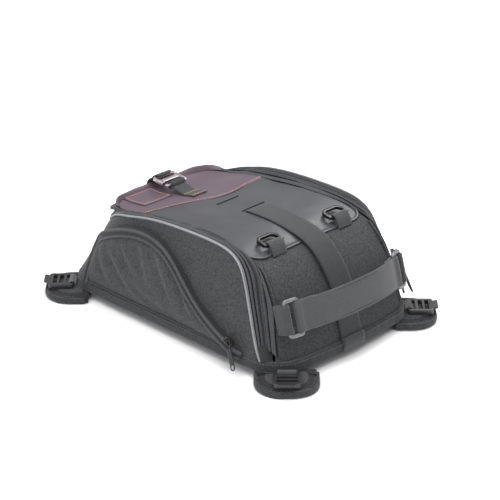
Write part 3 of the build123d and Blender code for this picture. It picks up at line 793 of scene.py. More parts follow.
# ---- lid -------------------------------------------------------------------------------------
SEAM_Y, SEAM_CORNER = -131.0, 24.0
LID_EDGE_X = 104.0
SKIN_FRONT, LEATHER_FRONT = 151.0, 150.5
SKIN_LOW, SKIN_LIFT, REAR_LOW, REAR_LIFT = -2.6, 0.9, -2.8, -0.4
EDGE_LAP = 0.8


def seam_run(x):
    """Where the coated skin's rear edge crosses the lid at x: straight, with rounded corners."""
    past = np.maximum(np.abs(x) - (LID_EDGE_X - SEAM_CORNER), 0)
    rise = SEAM_CORNER - np.sqrt(np.maximum(SEAM_CORNER ** 2 - past ** 2, 0))
    return run_at_y(SEAM_Y + rise)


def lid_sheet(name, x, run, low, high, material):
    """Sheet on the lid over a grid of x and run, between two heights above the skin."""
    high = np.broadcast_to(np.asarray(high, float), x.shape).copy()
    for edge in (np.s_[0, :], np.s_[-1, :], np.s_[:, 0], np.s_[:, -1]):
        high[edge] = (high[edge] + low) / 2 if np.isscalar(low) else high[edge]
    return slab(name, lid_point(x, run, high), lid_point(x, run, low), material)


def lid_x(x, run):
    """x drawn in or out with the width of the skin."""
    return x * (lid_half(run) + EDGE_LAP) / LID_EDGE_X


def lid_grid(x_values, first, last, rows):
    """Grid over the lid between two lines, each a function of x or a fixed run."""
    x_values = np.asarray(x_values, float)
    first = first(x_values) if callable(first) else np.full_like(x_values, first)
    last = last(x_values) if callable(last) else np.full_like(x_values, last)
    share = np.linspace(0, 1, rows)[:, None]
    run = first * (1 - share) + last * share
    return lid_x(x_values, run), run


SKIN_SWELLS, SKIN_SEED, REAR_SEED = [(60, 1.6, 0), (24, 0.5, 2)], 4.0, 7.0


def skin_undulation(x, run, seed=SKIN_SEED):
    """Soft dents and swells of a filled lid."""
    points = np.stack([x, run, np.zeros_like(x)], axis=-1)
    return swells(points, SKIN_SWELLS, seed)


def make_lid():
    """Coated top skin, woven rear panel and their seam."""
    x_values = np.linspace(-LID_EDGE_X, LID_EDGE_X, 72)
    x, run = lid_grid(x_values, seam_run, run_at_y(SKIN_FRONT), 96)
    lift = SKIN_LIFT + skin_undulation(x, run)
    attach(lid_sheet("top_skin", x, run, SKIN_LOW, lift, SKIN), "lid", "coated_skin", "top_panel",
           "lid_front_lip")
    x, run = lid_grid(x_values, run_at_z(HEM_TOP - 3.0), lambda v: seam_run(v) + 5.0, 70)
    tuck = ramp(run, run_at_z(HEM_TOP), run_at_z(HEM_TOP + 14))
    lift = skin_undulation(x, run, REAR_SEED) * tuck + REAR_LIFT
    across_hinge(lid_sheet("rear_cloth", x, run, REAR_LOW, lift, CLOTH), "shell_fabric", "rear_panel")
    edge_x = np.linspace(-LID_EDGE_X, LID_EDGE_X, 90)
    seam = lid_point(lid_x(edge_x, seam_run(edge_x)), seam_run(edge_x), 0.7)
    normal = lid_normal(edge_x, seam_run(edge_x))
    tube("lid", "coated_skin", "skin_seam", seam, normal, tape_profile(3.0, 1.2), SKIN)
    for side, name in ((-1, "left"), (1, "right")):
        runs = np.linspace(run_at_z(34), run_at_y(-140), 60)
        line = lid_point(side * (lid_half(runs) - 3.0), runs, 0.2)
        tube("lid", "shell_fabric", f"rear_seam_{name}", line, lid_normal(side, runs),
             tape_profile(3.4, 1.0, crown=0.3), CLOTH)
        bead_row("lid", "shell_fabric", f"rear_stitches_{name}", line - np.array([side * 3.4, 0, 0]),
                 lid_normal(side, runs), 4.2, (1.4, 0.4, 0.4), 0.35, BLACK_THREAD)


LID_FOAM_Y, LID_FOAM_SPAN, LID_FOAM_SHARE = (-118.0, 138.0), (-3.4, -6.4), 0.9
WALL_FOAM_TURNS = {"left": (0.72, 1.3, 30), "front": (1.78, 2.22, 20), "right": (2.7, 3.28, 30)}
WALL_FOAM_BOTTOM, WALL_FOAM_TOP, WALL_FOAM_SPAN = 16, 112.0, (-4.6, -7.6)


def make_foams():
    """Stiffening foam under the skin and inside the side and front walls."""
    x_values = np.linspace(-LID_EDGE_X * LID_FOAM_SHARE, LID_EDGE_X * LID_FOAM_SHARE, 24)
    x, run = lid_grid(x_values, *(run_at_y(y) for y in LID_FOAM_Y), 40)
    attach(slab("lid_foam", *(lid_point(x, run, d) for d in LID_FOAM_SPAN), FOAM), "lid", "foam",
           "lid_stiffener")
    for name, span in WALL_FOAM_TURNS.items():
        turns = np.linspace(*span)
        tops = np.array([min(wall_top(t) - 8, WALL_FOAM_TOP) for t in turns])
        t, share = np.meshgrid(turns, np.linspace(0, 1, 12), indexing="ij")
        z = WALL_FOAM_BOTTOM + (tops[:, None] - WALL_FOAM_BOTTOM) * share
        attach(slab(f"wall_foam_{name}", *(loop_point(t, z, d) for d in WALL_FOAM_SPAN), FOAM), "root",
               "foam", *(["wall_foams"] if name == "left" else []))


def make_stitches(name, x, run, lift, pitch=3.9, slot="leather"):
    """Row of tan stitches on the lid along x and run, lifted off the skin's swells."""
    line = evenly(lid_point(x, run, lift + skin_undulation(x, run)), 1.5)
    ups = lid_normal(0, np.interp(line[:, 1], MIDDLE[:, 0], MIDDLE_RUN))
    bead_row("lid", slot, name, line, ups, pitch, (1.35, 0.42, 0.38), 0.1, ORANGE)


PATCH_REAR = [(-106, 86), (-86, 77), (-58, 69), (-32, 57), (-4, 43), (20, 39), (56, 43), (106, 47)]


def patch_line(x):
    """Rear edge of the leather patch: an S across the lid, nearer the front on the label's side."""
    return run_at_y(np.interp(x, *smooth(PATCH_REAR).T))


LABEL_X, LABEL_Y, LABEL_INSET = (-71.0, -21.0), (103.0, 148.0), 3.0


def make_patches():
    """Leather patch and label patch with their stitching."""
    x_values = np.linspace(-LID_EDGE_X, LID_EDGE_X, 70)
    x, run = lid_grid(x_values, patch_line, run_at_y(LEATHER_FRONT), 48)
    attach(lid_sheet("leather_panel", x, run, 0.3, 2.0 + skin_undulation(x, run), LEATHER), "lid", "leather",
           "leather_patch")
    line_x = np.linspace(-91, 91, 80)
    make_stitches("leather_stitches", line_x, patch_line(line_x) + 3.2, 2.1)
    x, run = np.meshgrid(np.linspace(*LABEL_X, 24),
                         np.linspace(run_at_y(LABEL_Y[0]), run_at_y(LABEL_Y[1]), 22))
    lift = skin_undulation(x, run)
    attach(lid_sheet("label_leather", x, run, 1.4 + lift, 3.5 + lift, LEATHER), "lid", "leather",
           "label_patch")
    corners = [(LABEL_X[i] + LABEL_INSET * (1 - 2 * i), LABEL_Y[j] + LABEL_INSET * (1 - 2 * j))
               for i, j in ((0, 0), (1, 0), (1, 1), (0, 1))]
    for n, (start, end) in enumerate(zip(corners, corners[1:] + corners[:1])):
        line_x, line_y = np.linspace(start, end, 20).T
        make_stitches(f"label_stitches_{n}", line_x, run_at_y(line_y), 3.6)


def tape_on_lid(name, x_mid, width, runs, lifts):
    """Strap along the lid at a fixed x, its underside at the given heights above the skin."""
    profile = tape_profile(width, TAPE_THICK, steps=10)
    return sweep(name, lid_point(x_mid, runs, lifts), lid_normal(x_mid, runs), profile, WEBBING_DARK)


STRAP_STAND_OFF, STRAP_LIFT, STRAP_TUCK = 3.2, 1.6, 2.6


def make_strap():
    """Wide strap over the rear, with near-black lines of painted shade for its slot and for the short cut in
    the skin.
    """
    runs = np.linspace(run_at_z(HEM_TOP - 2.0), run_at_y(STRAP_SLOT_Y + 2), 120)
    heights = np.interp(runs, MIDDLE_RUN, MIDDLE[:, 1])
    settled = ramp(np.interp(runs, MIDDLE_RUN, MIDDLE[:, 0]), -150, -95)
    stand_off = STRAP_STAND_OFF * ramp(heights, 40, 70) * (1 - settled)
    lifts = STRAP_LIFT + stand_off + 1.0 * (1 - ramp(heights, 28, 40))
    lifts -= STRAP_TUCK * ramp(runs, run_at_y(STRAP_SLOT_Y - 7), run_at_y(STRAP_SLOT_Y + 1))
    across_hinge(tape_on_lid("rear_strap", 0.0, STRAP_WIDTH, runs, lifts), "webbing", "top_strap",
                 "strap_hem_tab")
    # The slot and the slit are drawn as raised near-black tubes of painted shade.
    for name, y, half in (("strap_slot_shade", STRAP_SLOT_Y + 1.2, STRAP_WIDTH / 2 + 1),
                          ("skin_slit_shade", SLIT_Y, SLIT_HALF)):
        x_values = np.linspace(-half, half, 16)
        run = run_at_y(y) + 0 * x_values
        line = lid_point(x_values, run, 0.55) + lid_normal(0, run) * skin_undulation(x_values, run)[:, None]
        tube("lid", "coated_skin", name, line, lid_normal(0, run), tape_profile(2.4, 1.0, crown=0.2), SHADOW)
    tab_z = np.linspace(12.0, 30.0, 8)
    path = np.column_stack([0 * tab_z, -205.6 - 2.4 * np.sin((tab_z - 10) / 21 * math.pi), tab_z])
    tube("root", "webbing", "strap_tab", path, (0, -1, 0), tape_profile(STRAP_WIDTH + 2, 2.0), WEBBING_DARK)


HOOK_X, EYE_RADIUS, EYE_MIDDLE = -4.0, 4.3, np.array([-4.0, 114.0, 143.2])
RECEIVER_RUN, RECEIVER_RISE, RECEIVER_LIFT, RECEIVER_STITCHES = (67, 109.5), (84, 112), 8.4, (70.0, 86.0)
HOOK_LOOP_RADIUS, LINK_END = 4.2, (151.0, 142.0)
CLOSURE_LINE = [(149.0, 141.2), (154.0, 139.4), (158.8, 133.0), (161.0, 122.0), (161.8, 112.0)]


def in_hook_plane(flat):
    """Points at the hook's x from (y, z) pairs."""
    return [(HOOK_X, y, z) for y, z in flat]


def make_closure():
    """Receiver tape with its cross stitches, and the strap over the front edge."""
    runs = np.linspace(*(run_at_y(y) for y in RECEIVER_RUN), 40)
    base = 2.3 + skin_undulation(np.full(40, HOOK_X), runs)
    lifts = base + RECEIVER_LIFT * ramp(runs, *(run_at_y(y) for y in RECEIVER_RISE))
    attach(tape_on_lid("hook_receiver", HOOK_X, TAPE_WIDTH, runs, lifts), "lid", "webbing", "receiver_tape")
    for n, y in enumerate(RECEIVER_STITCHES):
        x_values = np.linspace(HOOK_X - 12, HOOK_X + 12, 12)
        make_stitches(f"receiver_stitches_{n}", x_values, run_at_y(y) + 0 * x_values, 4.3, 3.2, "webbing")
    turn = np.linspace(-0.5, 1.35, 16) * math.pi
    outward = -EYE_RADIUS * np.column_stack([0 * turn, np.cos(turn), np.sin(turn)])
    eye = EYE_MIDDLE + outward
    tube("lid", "webbing", "receiver_eye", eye, outward, tape_profile(TAPE_WIDTH, 1.5, low=-0.7),
         WEBBING_DARK)
    path = smooth(in_hook_plane(CLOSURE_LINE), 8)
    outward = unit(np.cross(tangents(path), np.array([-1.0, 0, 0])))
    tube("lid", "webbing", "closure_tape", path, outward, tape_profile(TAPE_WIDTH, TAPE_THICK), WEBBING_DARK,
         "closure_strap")


def make_hook_loop():
    """Folded end of the closure strap round the hook's front bar, running down to the lid's edge."""
    low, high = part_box("hook_strap_loop")
    centre = (low + high) / 2 / MM
    turn = np.linspace(1.75, 0.15, 18) * math.pi
    outward = -HOOK_LOOP_RADIUS * np.column_stack([0 * turn, np.cos(turn), np.sin(turn)])
    ring = np.array([HOOK_X, centre.y, centre.z]) + outward
    tube("hook", "webbing", "hook_loop", ring, outward, tape_profile(TAPE_WIDTH, LOOP_THICK, low=-0.6),
         WEBBING_DARK, "hook_strap_loop")
    path = smooth(in_hook_plane([(centre.y + 0.6, centre.z + HOOK_LOOP_RADIUS),
                                 (centre.y + 4.5, centre.z + 2.4),
                                 LINK_END]), 8)
    link = sweep("closure_link", path, (0, 0.35, 0.94), tape_profile(TAPE_WIDTH, LOOP_THICK, low=-0.8),
                 WEBBING_DARK)
    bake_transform(link)


D_RING_PIN, D_LOOP_RADIUS = (-124.0, 150.5), 3.7


def make_ring_loops():
    """Webbing loops that hold the two D-rings at the skin's rear seam."""
    for name in ("left", "right"):
        low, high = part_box(f"d_ring_loop_{name}")
        x_mid = (low.x + high.x) / 2 / MM
        root = lid_point(x_mid, run_at_y(-135.0), 0.6)
        under = lid_point(x_mid, run_at_y(-131.0), 0.3)
        pin = np.array([x_mid, *D_RING_PIN])
        turn = np.linspace(1.15, -0.75, 15) * math.pi
        ring = [pin + D_LOOP_RADIUS * np.array([0, math.cos(t), math.sin(t)]) for t in turn]
        path = smooth([root, lid_point(x_mid, run_at_y(-131.5), 5.0)] + ring[3::2] + [under], 6)
        outward = unit(np.cross(tangents(path), np.array([-1.0, 0, 0])))
        tube("lid", "webbing", f"d_loop_{name}", path, outward, tape_profile(TAPE_WIDTH, 1.7, low=-0.85),
             WEBBING, f"d_ring_loop_{name}")


# ---- handle ----------------------------------------------------------------------------------
HANDLE_TILT = math.radians(17.0)
HANDLE_ORIGIN = np.array([0.0, -185.0, 81.0])
HANDLE_OUT = np.array([0.0, -math.cos(HANDLE_TILT), math.sin(HANDLE_TILT)])
HANDLE_UP = np.array([0.0, math.sin(HANDLE_TILT), math.cos(HANDLE_TILT)])
RING_PIVOT_X, RING_PIVOT_OUT, RING_REACH, RING_SWING = 106.0, 7.5, 17.6, math.radians(20.0)
GRIP_BAR_X = RING_PIVOT_X - RING_REACH * math.cos(RING_SWING)
GRIP_BAR_OUT = RING_PIVOT_OUT + RING_REACH * math.sin(RING_SWING)
GRIP_HEIGHT, GRIP_BOW = 40.0, 18.0


def on_handle(x, out, up=0.0):
    """Point in the handle's frame."""
    x, out, up = arrays(x, out, up)
    across = np.zeros(x.shape + (3,))
    across[..., 0] = x
    return HANDLE_ORIGIN + across + out[..., None] * HANDLE_OUT + up[..., None] * HANDLE_UP


def grip_bow(share, height=0.0):
    """How far out the grip stands at a share of its half length."""
    return GRIP_BAR_OUT + height + (GRIP_BOW - 1.0) * (1 - np.abs(share) ** GRIP_BOW_POWER)


GRIP_BOW_POWER = 2.3
GRIP_STITCH_X, GRIP_STITCH_UP = GRIP_BAR_X - 9, 17.2


def make_grip():
    """Bowed webbing grip, folded back round each ring, with its edge and end stitching."""
    steps = np.linspace(-1, 1, 60)
    outer = list(zip(steps * (GRIP_BAR_X - 3.0), grip_bow(steps, 2.6)))
    turn = np.linspace(0.62, -0.62, 9) * math.pi
    right = [(GRIP_BAR_X + 0.6 + 4.1 * math.cos(t), GRIP_BAR_OUT + 4.1 * math.sin(t)) for t in turn]
    right += [(GRIP_BAR_X - 8, GRIP_BAR_OUT - 0.4), (GRIP_BAR_X - 24, GRIP_BAR_OUT + 6.4)]
    left = [(-x, out) for x, out in right][::-1]
    line = smooth([(x, out, 0.0) for x, out in left + outer[3:-3:4] + right], 6)
    path = on_handle(line[:, 0], line[:, 1])
    normals = unit(np.cross(np.broadcast_to(HANDLE_UP, path.shape), tangents(path)))
    profile = tape_profile(GRIP_HEIGHT, 2.2, low=-1.1, steps=14, crown=0.4)
    tube("grip", "webbing", "grip_webbing", path, -normals, profile, HANDLE_TAPE, "handle_grip")
    face = on_handle(steps * GRIP_STITCH_X, grip_bow(steps, 4.1))
    ups = unit(np.cross(np.broadcast_to(HANDLE_UP, face.shape), tangents(face)))
    for name, height in (("upper", GRIP_STITCH_UP), ("lower", -GRIP_STITCH_UP)):
        bead_row("grip", "webbing", f"grip_stitches_{name}", face + HANDLE_UP * height, -ups, 3.5,
                 (1.1, 0.45, 0.4),
                 -0.1, BLACK_THREAD)
    for side, letter in ((-1, "l"), (1, "r")):
        for n, x in enumerate((GRIP_STITCH_X, GRIP_STITCH_X - 4)):
            line = on_handle(side * x, grip_bow(x / GRIP_STITCH_X, 4.1), np.linspace(-17, 17, 12))
            bead_row("grip", "webbing", f"grip_end_stitches_{letter}{n}", line, HANDLE_OUT, 3.2,
                     (1.1, 0.42, 0.4),
                     0.1, BLACK_THREAD)
    inner = on_handle(steps * (GRIP_BAR_X - 20), grip_bow(steps, 0.2))
    profile = tape_profile(GRIP_HEIGHT - 9, 1.6, low=-0.8)
    tube("grip", "webbing", "grip_lining", inner, HANDLE_OUT, profile, WEBBING_DARK)


# Middle line of an anchor's tape, (x, out): from the rear panel, round the ring's bar and back.
ANCHOR_LINE = [(112.5, -6.0), (111.2, 2.5), (108.4, 10.6), (104.8, 12.2), (102.0, 9.6), (101.8, 5.6),
               (104.6, 2.2),
               (108.0, -2.0), (110.5, -7.0)]


def make_anchors():
    """Webbing anchors on the rear panel that hold the handle's rings."""
    for side, name in ((-1, "left"), (1, "right")):
        line = smooth([(side * x, out, 0.0) for x, out in ANCHOR_LINE], 6)
        path = on_handle(line[:, 0], line[:, 1])
        normals = unit(np.cross(np.broadcast_to(HANDLE_UP, path.shape), tangents(path)))
        tube("lid", "webbing", f"anchor_webbing_{name}", path, side * normals,
             tape_profile(STRAP_WIDTH, TAPE_THICK, low=-TAPE_THICK / 2), WEBBING, f"handle_anchor_{name}")


# ---- finish for the pieces carried over from CAD ---------------------------------------------
def dress(node, material, bevel):
    """Gives a CAD node its material, with welded and slightly rounded edges."""
    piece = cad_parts[node]
    piece.data.materials.clear()
    piece.data.materials.append(material)
    if bevel:
        piece.modifiers.new("weld", "WELD").merge_threshold = 1e-6
        rounding = piece.modifiers.new("rounding", "BEVEL")
        rounding.width = bevel * MM
        rounding.segments = 2
        rounding.limit_method = "ANGLE"
        rounding.angle_limit = math.radians(40)
        rounding.harden_normals = False
    for polygon in piece.data.polygons:
        polygon.use_smooth = True


# CAD nodes that show in the finished model: material and edge rounding.
HARDWARE = {
    "g_hook": (HOOK_METAL, 0.8), "handle_ring_left": (RING_METAL, 0.9), "handle_ring_right": (RING_METAL,
                                                                                              0.9),
    "d_ring_left": (GLOSS_BLACK, 0.8), "d_ring_right": (GLOSS_BLACK, 0.8), "base_board": (BOARD, 0),
    "pocket_slider_left": (ENAMEL, 0.3), "pocket_slider_right": (ENAMEL, 0.3),
    "upper_slider": (ENAMEL, 0.3), "lower_slider": (ENAMEL, 0.3),
    "ladderlock_rear_left": (ACETAL, 0.5), "ladderlock_rear_right": (ACETAL, 0.5),
    "ladderlock_front_left": (ACETAL, 0.5), "ladderlock_front_right": (ACETAL, 0.5),
}


# ---- side pockets ----------------------------------------------------------------------------
POCKET_CROWN = [(-142, 29), (-110, 42), (-79, 57), (-52, 76), (-25, 101), (2, 122), (34, 131), (78, 126.5),
                (118, 111), (142, 94), (154, 70), (160, 44), (163, 27)]
POCKET_LOW = 26.5
POCKET_OUT = 9.0
POCKET_BAND = 9.6
POCKET_PIPING = {"outer": (0.8, 1.9), "inner": (9.2, 1.7), "fold": (3.0, 1.0), "hem": (7.2, 0.9)}
# Folds pulled across the pocket, each from its upper to its lower end: (y, z) pairs and a depth.
POCKET_FOLDS = [
    ((4, 112), (-50, 48), 3.4), ((-18, 103), (-38, 52), 2.6), ((112, 84), (66, 40), 2.6),
    ((56, 116), (34, 66), 1.6), ((26, 118), (-6, 58), 2.2), ((88, 108), (58, 66), 1.6),
    ((-46, 72), (-88, 38), 2.0), ((-72, 54), (-112, 34), 1.4), ((132, 88), (112, 38), 2.0),
    ((70, 60), (20, 36), 1.4),
]
FOLD_DEPTH, FOLD_WIDTH, RIDGE_DEPTH, RIDGE_OFFSET, RIDGE_WIDTH = 0.75, 5.4, 0.4, 10.0, 7.0
CROWN = smooth(POCKET_CROWN)


def crown_height(y):
    """Height of the pocket's zip line at y."""
    return np.interp(y, CROWN[:, 0], CROWN[:, 1])


def pocket_bulge(y, z):
    """How far the pocket stands off the wall."""
    top = crown_height(y)
    t = np.clip((z - POCKET_LOW) / np.maximum(top - POCKET_LOW, 6), 0, 1)
    rise = 1 - (1 - t) ** 2.4
    front = 1 - ramp(y, 128, 164) * 0.75
    out = 1.0 + (POCKET_OUT - 1.0) * rise * front
    out += 3.2 * np.sin(math.pi * np.clip(t, 0, 1)) * ramp(top, 40, 100) * front
    for start, end, depth in POCKET_FOLDS:
        dy, dz = end[0] - start[0], end[1] - start[1]
        span = dy * dy + dz * dz
        along = ((y - start[0]) * dy + (z - start[1]) * dz) / span
        off = ((y - start[0]) * dz - (z - start[1]) * dy) / math.sqrt(span)
        off = off + 2.0 * np.sin(along * 3.0 + start[0])
        fade = ramp(along, -0.15, 0.25) * (1 - ramp(along, 0.7, 1.2))
        out -= FOLD_DEPTH * depth * fade * np.exp(-(off / FOLD_WIDTH) ** 2)
        out += RIDGE_DEPTH * depth * fade * np.exp(-((off - RIDGE_OFFSET) / RIDGE_WIDTH) ** 2)
    return out


def crown_inset(inset, low=0.0, high=1.0, count=220):
    """(y, z) along the pocket's zip line, moved in by inset."""
    path = at_lengths(CROWN, np.linspace(low, high, count) * lengths(CROWN)[-1])
    along = tangents(path)
    inward = np.stack([along[:, 1], -along[:, 0]], axis=-1)
    return path + inward * inset


def rim_out(path):
    """How far the pocket's zip stands off the wall along its line."""
    return POCKET_OUT * (1 - 0.72 * ramp(path[:, 0], 128, 164)) * ramp(path[:, 0], -150, -132)


def on_rim(side, inset, lift):
    """Line beside the pocket's zip, with its outward direction."""
    path = crown_inset(inset)
    out = rim_out(crown_inset(0.0))
    return side_wall_point(side, path[:, 0], path[:, 1], out + lift)


def make_pocket(side, name):
    """Domed pocket: creased panel, zip band, two pipings, coil and the gusset behind."""
    body = f"pocket_{name}"
    columns = np.concatenate([np.linspace(-141, 120, 110), np.linspace(122, 161, 34)])
    inset = crown_inset(POCKET_BAND, count=400)
    tops = np.maximum(np.interp(columns, inset[:, 0], inset[:, 1]), POCKET_LOW + 1.2)
    share = np.linspace(0, 1, 64)[:, None]
    y = np.broadcast_to(columns, (64, len(columns)))
    z = POCKET_LOW + (tops - POCKET_LOW) * share
    out = pocket_bulge(y, z)
    points = side_wall_point(side, y, z, out)
    out = out + ripple(points, 15, 0.7, 9.0) + ripple(points, 34, 1.4, 5.0) * np.minimum(share * 5, 1)
    out = np.minimum(out, POCKET_OUT + 5.0)
    edge = ramp(share, 0.9, 1.0) * ramp(tops, 34, 50)
    rim = np.interp(columns, inset[:, 0], rim_out(crown_inset(0.0, count=400)))
    out = out * (1 - edge) + (rim - 0.4) * edge
    panel = [side_wall_point(side, y, z, depth) for depth in (out, np.minimum(out - 1.2, 40))]
    attach(slab(f"pocket_panel_{name}", *panel, CLOTH), body, "shell_fabric", f"pocket_cover_{name}")
    band = [np.stack([on_rim(side, depth, lift) for depth in np.linspace(0, 10.4, 7)], axis=1)
            for lift in (-0.2, -1.6)]
    attach(slab(f"pocket_zip_tape_{name}", *band, CLOTH_DARK), body, "zip_tape")
    lifts = np.linspace(0.1, 0.95, 6)
    rim = rim_out(crown_inset(0.0))
    gusset = [np.stack([side_wall_point(side, *crown_inset(depth).T, rim * f + 0.3) for f in lifts], axis=1)
              for depth in (0.0, 1.3)]
    attach(slab(f"pocket_gusset_{name}", *gusset, CLOTH_DARK), body, "shell_fabric")
    ups = np.array([side, 0.0, 0.12])
    for label, (offset, radius) in POCKET_PIPING.items():
        line = on_rim(side, offset, 0.6)
        material = WELT if label in ("outer", "inner") else CLOTH
        tube(body, "zip_tape", f"pocket_piping_{label}_{name}", line, ups, round_profile(radius), material)
    bead_row(body, "zip_tape", f"pocket_coil_{name}", on_rim(side, 5.1, 0.5), ups, 1.5, (0.55, 1.9, 0.8), 0.0,
             COIL)
    bottom = columns[2:-2]
    line = side_wall_point(side, bottom, POCKET_LOW + 1.0, 2.6)
    tube(body, "shell_fabric", f"pocket_foot_welt_{name}", line, ups, round_profile(1.1), CLOTH)


# ---- pullers ---------------------------------------------------------------------------------
MAIN_SLIDERS = {
    "upper": ((117.0, -172.5, 94.0), (5.0, -27.0, -49.0)),
    "lower": ((120.5, -176.0, 73.0), (1.6, -9.0, -35.0)),
}
ZIP_OUTWARD = (0.84, -0.50, 0.15)
POCKET_PIVOT = (142.5, -124.0, 41.0)
POCKET_HANGS = {"left": (-1, (-11.0, -22.0, -28.0)), "right": (1, (12.0, -17.0, -25.0))}


def puller_frame(pivot, hang, outward):
    """Placing function for points given as (across, down, out) from the puller's pivot."""
    down = unit(hang)
    out = np.asarray(outward, float)
    out = unit(out - down * out.dot(down))
    across = np.cross(-down, out)
    pivot = np.asarray(pivot, float)

    def place(points):
        points = np.asarray(points, float)
        return pivot + points[..., :1] * across + points[..., 1:2] * down + points[..., 2:] * out
    return place, out


PULL_EYE = [(0, 0), (3.9, 0.4), (4.1, 5.0), (3.2, 9.2), (0, 10.6), (-3.2, 9.2), (-4.1, 5.0), (-3.9, 0.4),
            (0, 0)]
PULL_HALF, PULL_RING, EYE_WIRE, RING_WIRE = 4.0, 9.0, 0.85, 0.8


def make_puller(name, body, pivot, hang, outward, node):
    """Wire eye, moulded neck and tab, and the open wire ring at its end."""
    place, out = puller_frame(pivot, hang, outward)
    length = float(np.linalg.norm(hang))
    start = length - PULL_RING
    path = smooth([(x, down, 0.0) for x, down in PULL_EYE], 6)[:-1]
    attach(sweep(f"{name}_eye", place(path), np.broadcast_to(out, path.shape), round_profile(EYE_WIRE, 8),
                 ENAMEL, closed=True), body, "puller", node)
    widths = [(8.6, 2.4), (10.0, 3.3), (12.5, 3.0), (16.0, PULL_HALF - 0.2), (length * 0.6, PULL_HALF),
              (start, PULL_HALF - 0.5), (start + 2, PULL_HALF - 1.2)]
    rows = []
    for n, (down, width) in enumerate(widths):
        thick = 1.0 if n in (0, len(widths) - 1) else 1.5
        ring = tape_profile(2 * width, 2 * thick, low=-thick, steps=6, crown=0.15)
        rows.append(place(np.column_stack([ring[:, 0], np.full(len(ring), down), ring[:, 1]])))
    rows = np.array(rows)
    faces = grid_faces(*rows.shape[:2], wrap=True) + end_faces(*rows.shape[:2])
    tab = new_piece(f"{name}_tab", rows.reshape(-1, 3), faces, RUBBER)
    attach(tab, body, "puller")
    loop = [(2.6, start - 1.5), (3.6, start + 3.0), (2.8, length - 1.6), (0, length - 0.4),
            (-2.8, length - 1.6),
            (-3.6, start + 3.0), (-2.6, start - 1.5)]
    path = smooth([(x, d, 0.0) for x, d in loop], 6)
    tube(body, "puller", f"{name}_ring", place(path), np.broadcast_to(out, path.shape),
         round_profile(RING_WIRE, 8), ENAMEL)


def make_pullers():
    """All the zip pullers."""
    for name, (pivot, hang) in MAIN_SLIDERS.items():
        make_puller(f"{name}_pull", f"{name}_zip_puller", pivot, hang, ZIP_OUTWARD, f"{name}_puller")
    for name, (side, hang) in POCKET_HANGS.items():
        pivot = (side * POCKET_PIVOT[0], *POCKET_PIVOT[1:])
        make_puller(f"pocket_pull_{name}", f"pocket_zip_puller_{name}", pivot, hang, (side, 0, 0),
                    f"pocket_puller_{name}")


# ---- corner wings ----------------------------------------------------------------------------
UP = np.array([0.0, 0.0, 1.0])
CORNERS = {
    "rear_left": (-1, -1, -12.0), "rear_right": (1, -1, 10.0),
    "front_left": (-1, 1, 10.0), "front_right": (1, 1, -12.0),
}
WING_HALF_WIDTH, WING_TIP, WING_CORNER, WING_HINGE = 41.0, 91.0, 35.0, 46.8
LADDER_X = 54.2


def corner_place(corner):
    """Placing function for points given as (outwards, sideways, up) from a corner wing's centre."""
    sx, sy, shift = CORNERS[corner]
    step = shift * math.sqrt(0.5)
    origin = np.array([sx * (HEM_HALF_WIDTH - HEM_RADIUS + step), sy * (HEM_HALF_LENGTH - HEM_RADIUS - step),
                       0.0])
    outward = np.array([sx, sy, 0.0]) * math.sqrt(0.5)
    sideways = np.array([-sy, sx, 0.0]) * math.sqrt(0.5)

    def place(points):
        points = np.asarray(points, float)
        return origin + points[..., :1] * outward + points[..., 1:2] * sideways + points[..., 2:] * UP
    return place, outward, sideways


def wing_outline(start, inset, count=15):
    """Half-open outline of a wing from its root, round its tip and back, moved in by inset."""
    half, tip, radius = WING_HALF_WIDTH - inset, WING_TIP - inset, max(WING_CORNER - inset, 4)
    arc = np.linspace(-math.pi / 2, 0, count)
    first = [(tip - radius + radius * math.cos(a), -half + radius + radius * math.sin(a)) for a in arc]
    second = [(u, -v) for u, v in first[::-1]]
    return np.array([(start, -half)] + first + second + [(start, half)])


def filled_slab(name, outline, low, high, edge, crown, material, place, rings=5):
    """Flat padded shape with a rounded edge: rings of the outline drawn in towards its middle."""
    outline = evenly(np.vstack([outline, outline[:1]]), 3.2)[:-1]
    middle = (outline.max(0) + outline.min(0)) / 2
    layers = [(0.0, low + edge), (edge * 0.3, low + edge * 0.3), (edge, low)]
    layers = layers[::-1] + [(0.0, high - edge), (edge * 0.3, high - edge * 0.3), (edge, high)]
    points, centre = [], outline - middle
    span = np.abs(centre).max()
    for inset, z in layers:
        points.append(np.column_stack([middle + centre * (1 - inset / span), np.full(len(outline), z)]))
    for n in range(1, rings + 1):
        share = n / (rings + 1)
        level = np.full(len(outline), high + crown * math.sin(share * math.pi / 2))
        points.append(np.column_stack([middle + centre * (1 - edge / span) * (1 - share), level]))
    points = np.array(points)
    rows, columns = points.shape[:2]
    faces = grid_faces(rows, columns, wrap=True) + end_faces(rows, columns)
    return new_piece(name, place(points).reshape(-1, 3), faces, material)


PUFF_STEPS, PUFF_PRESSURE, PUFF_STIFFNESS, PUFF_VOXEL, PUFF_FLOOR = 14, 2.5, 18, 3.2, 0.2


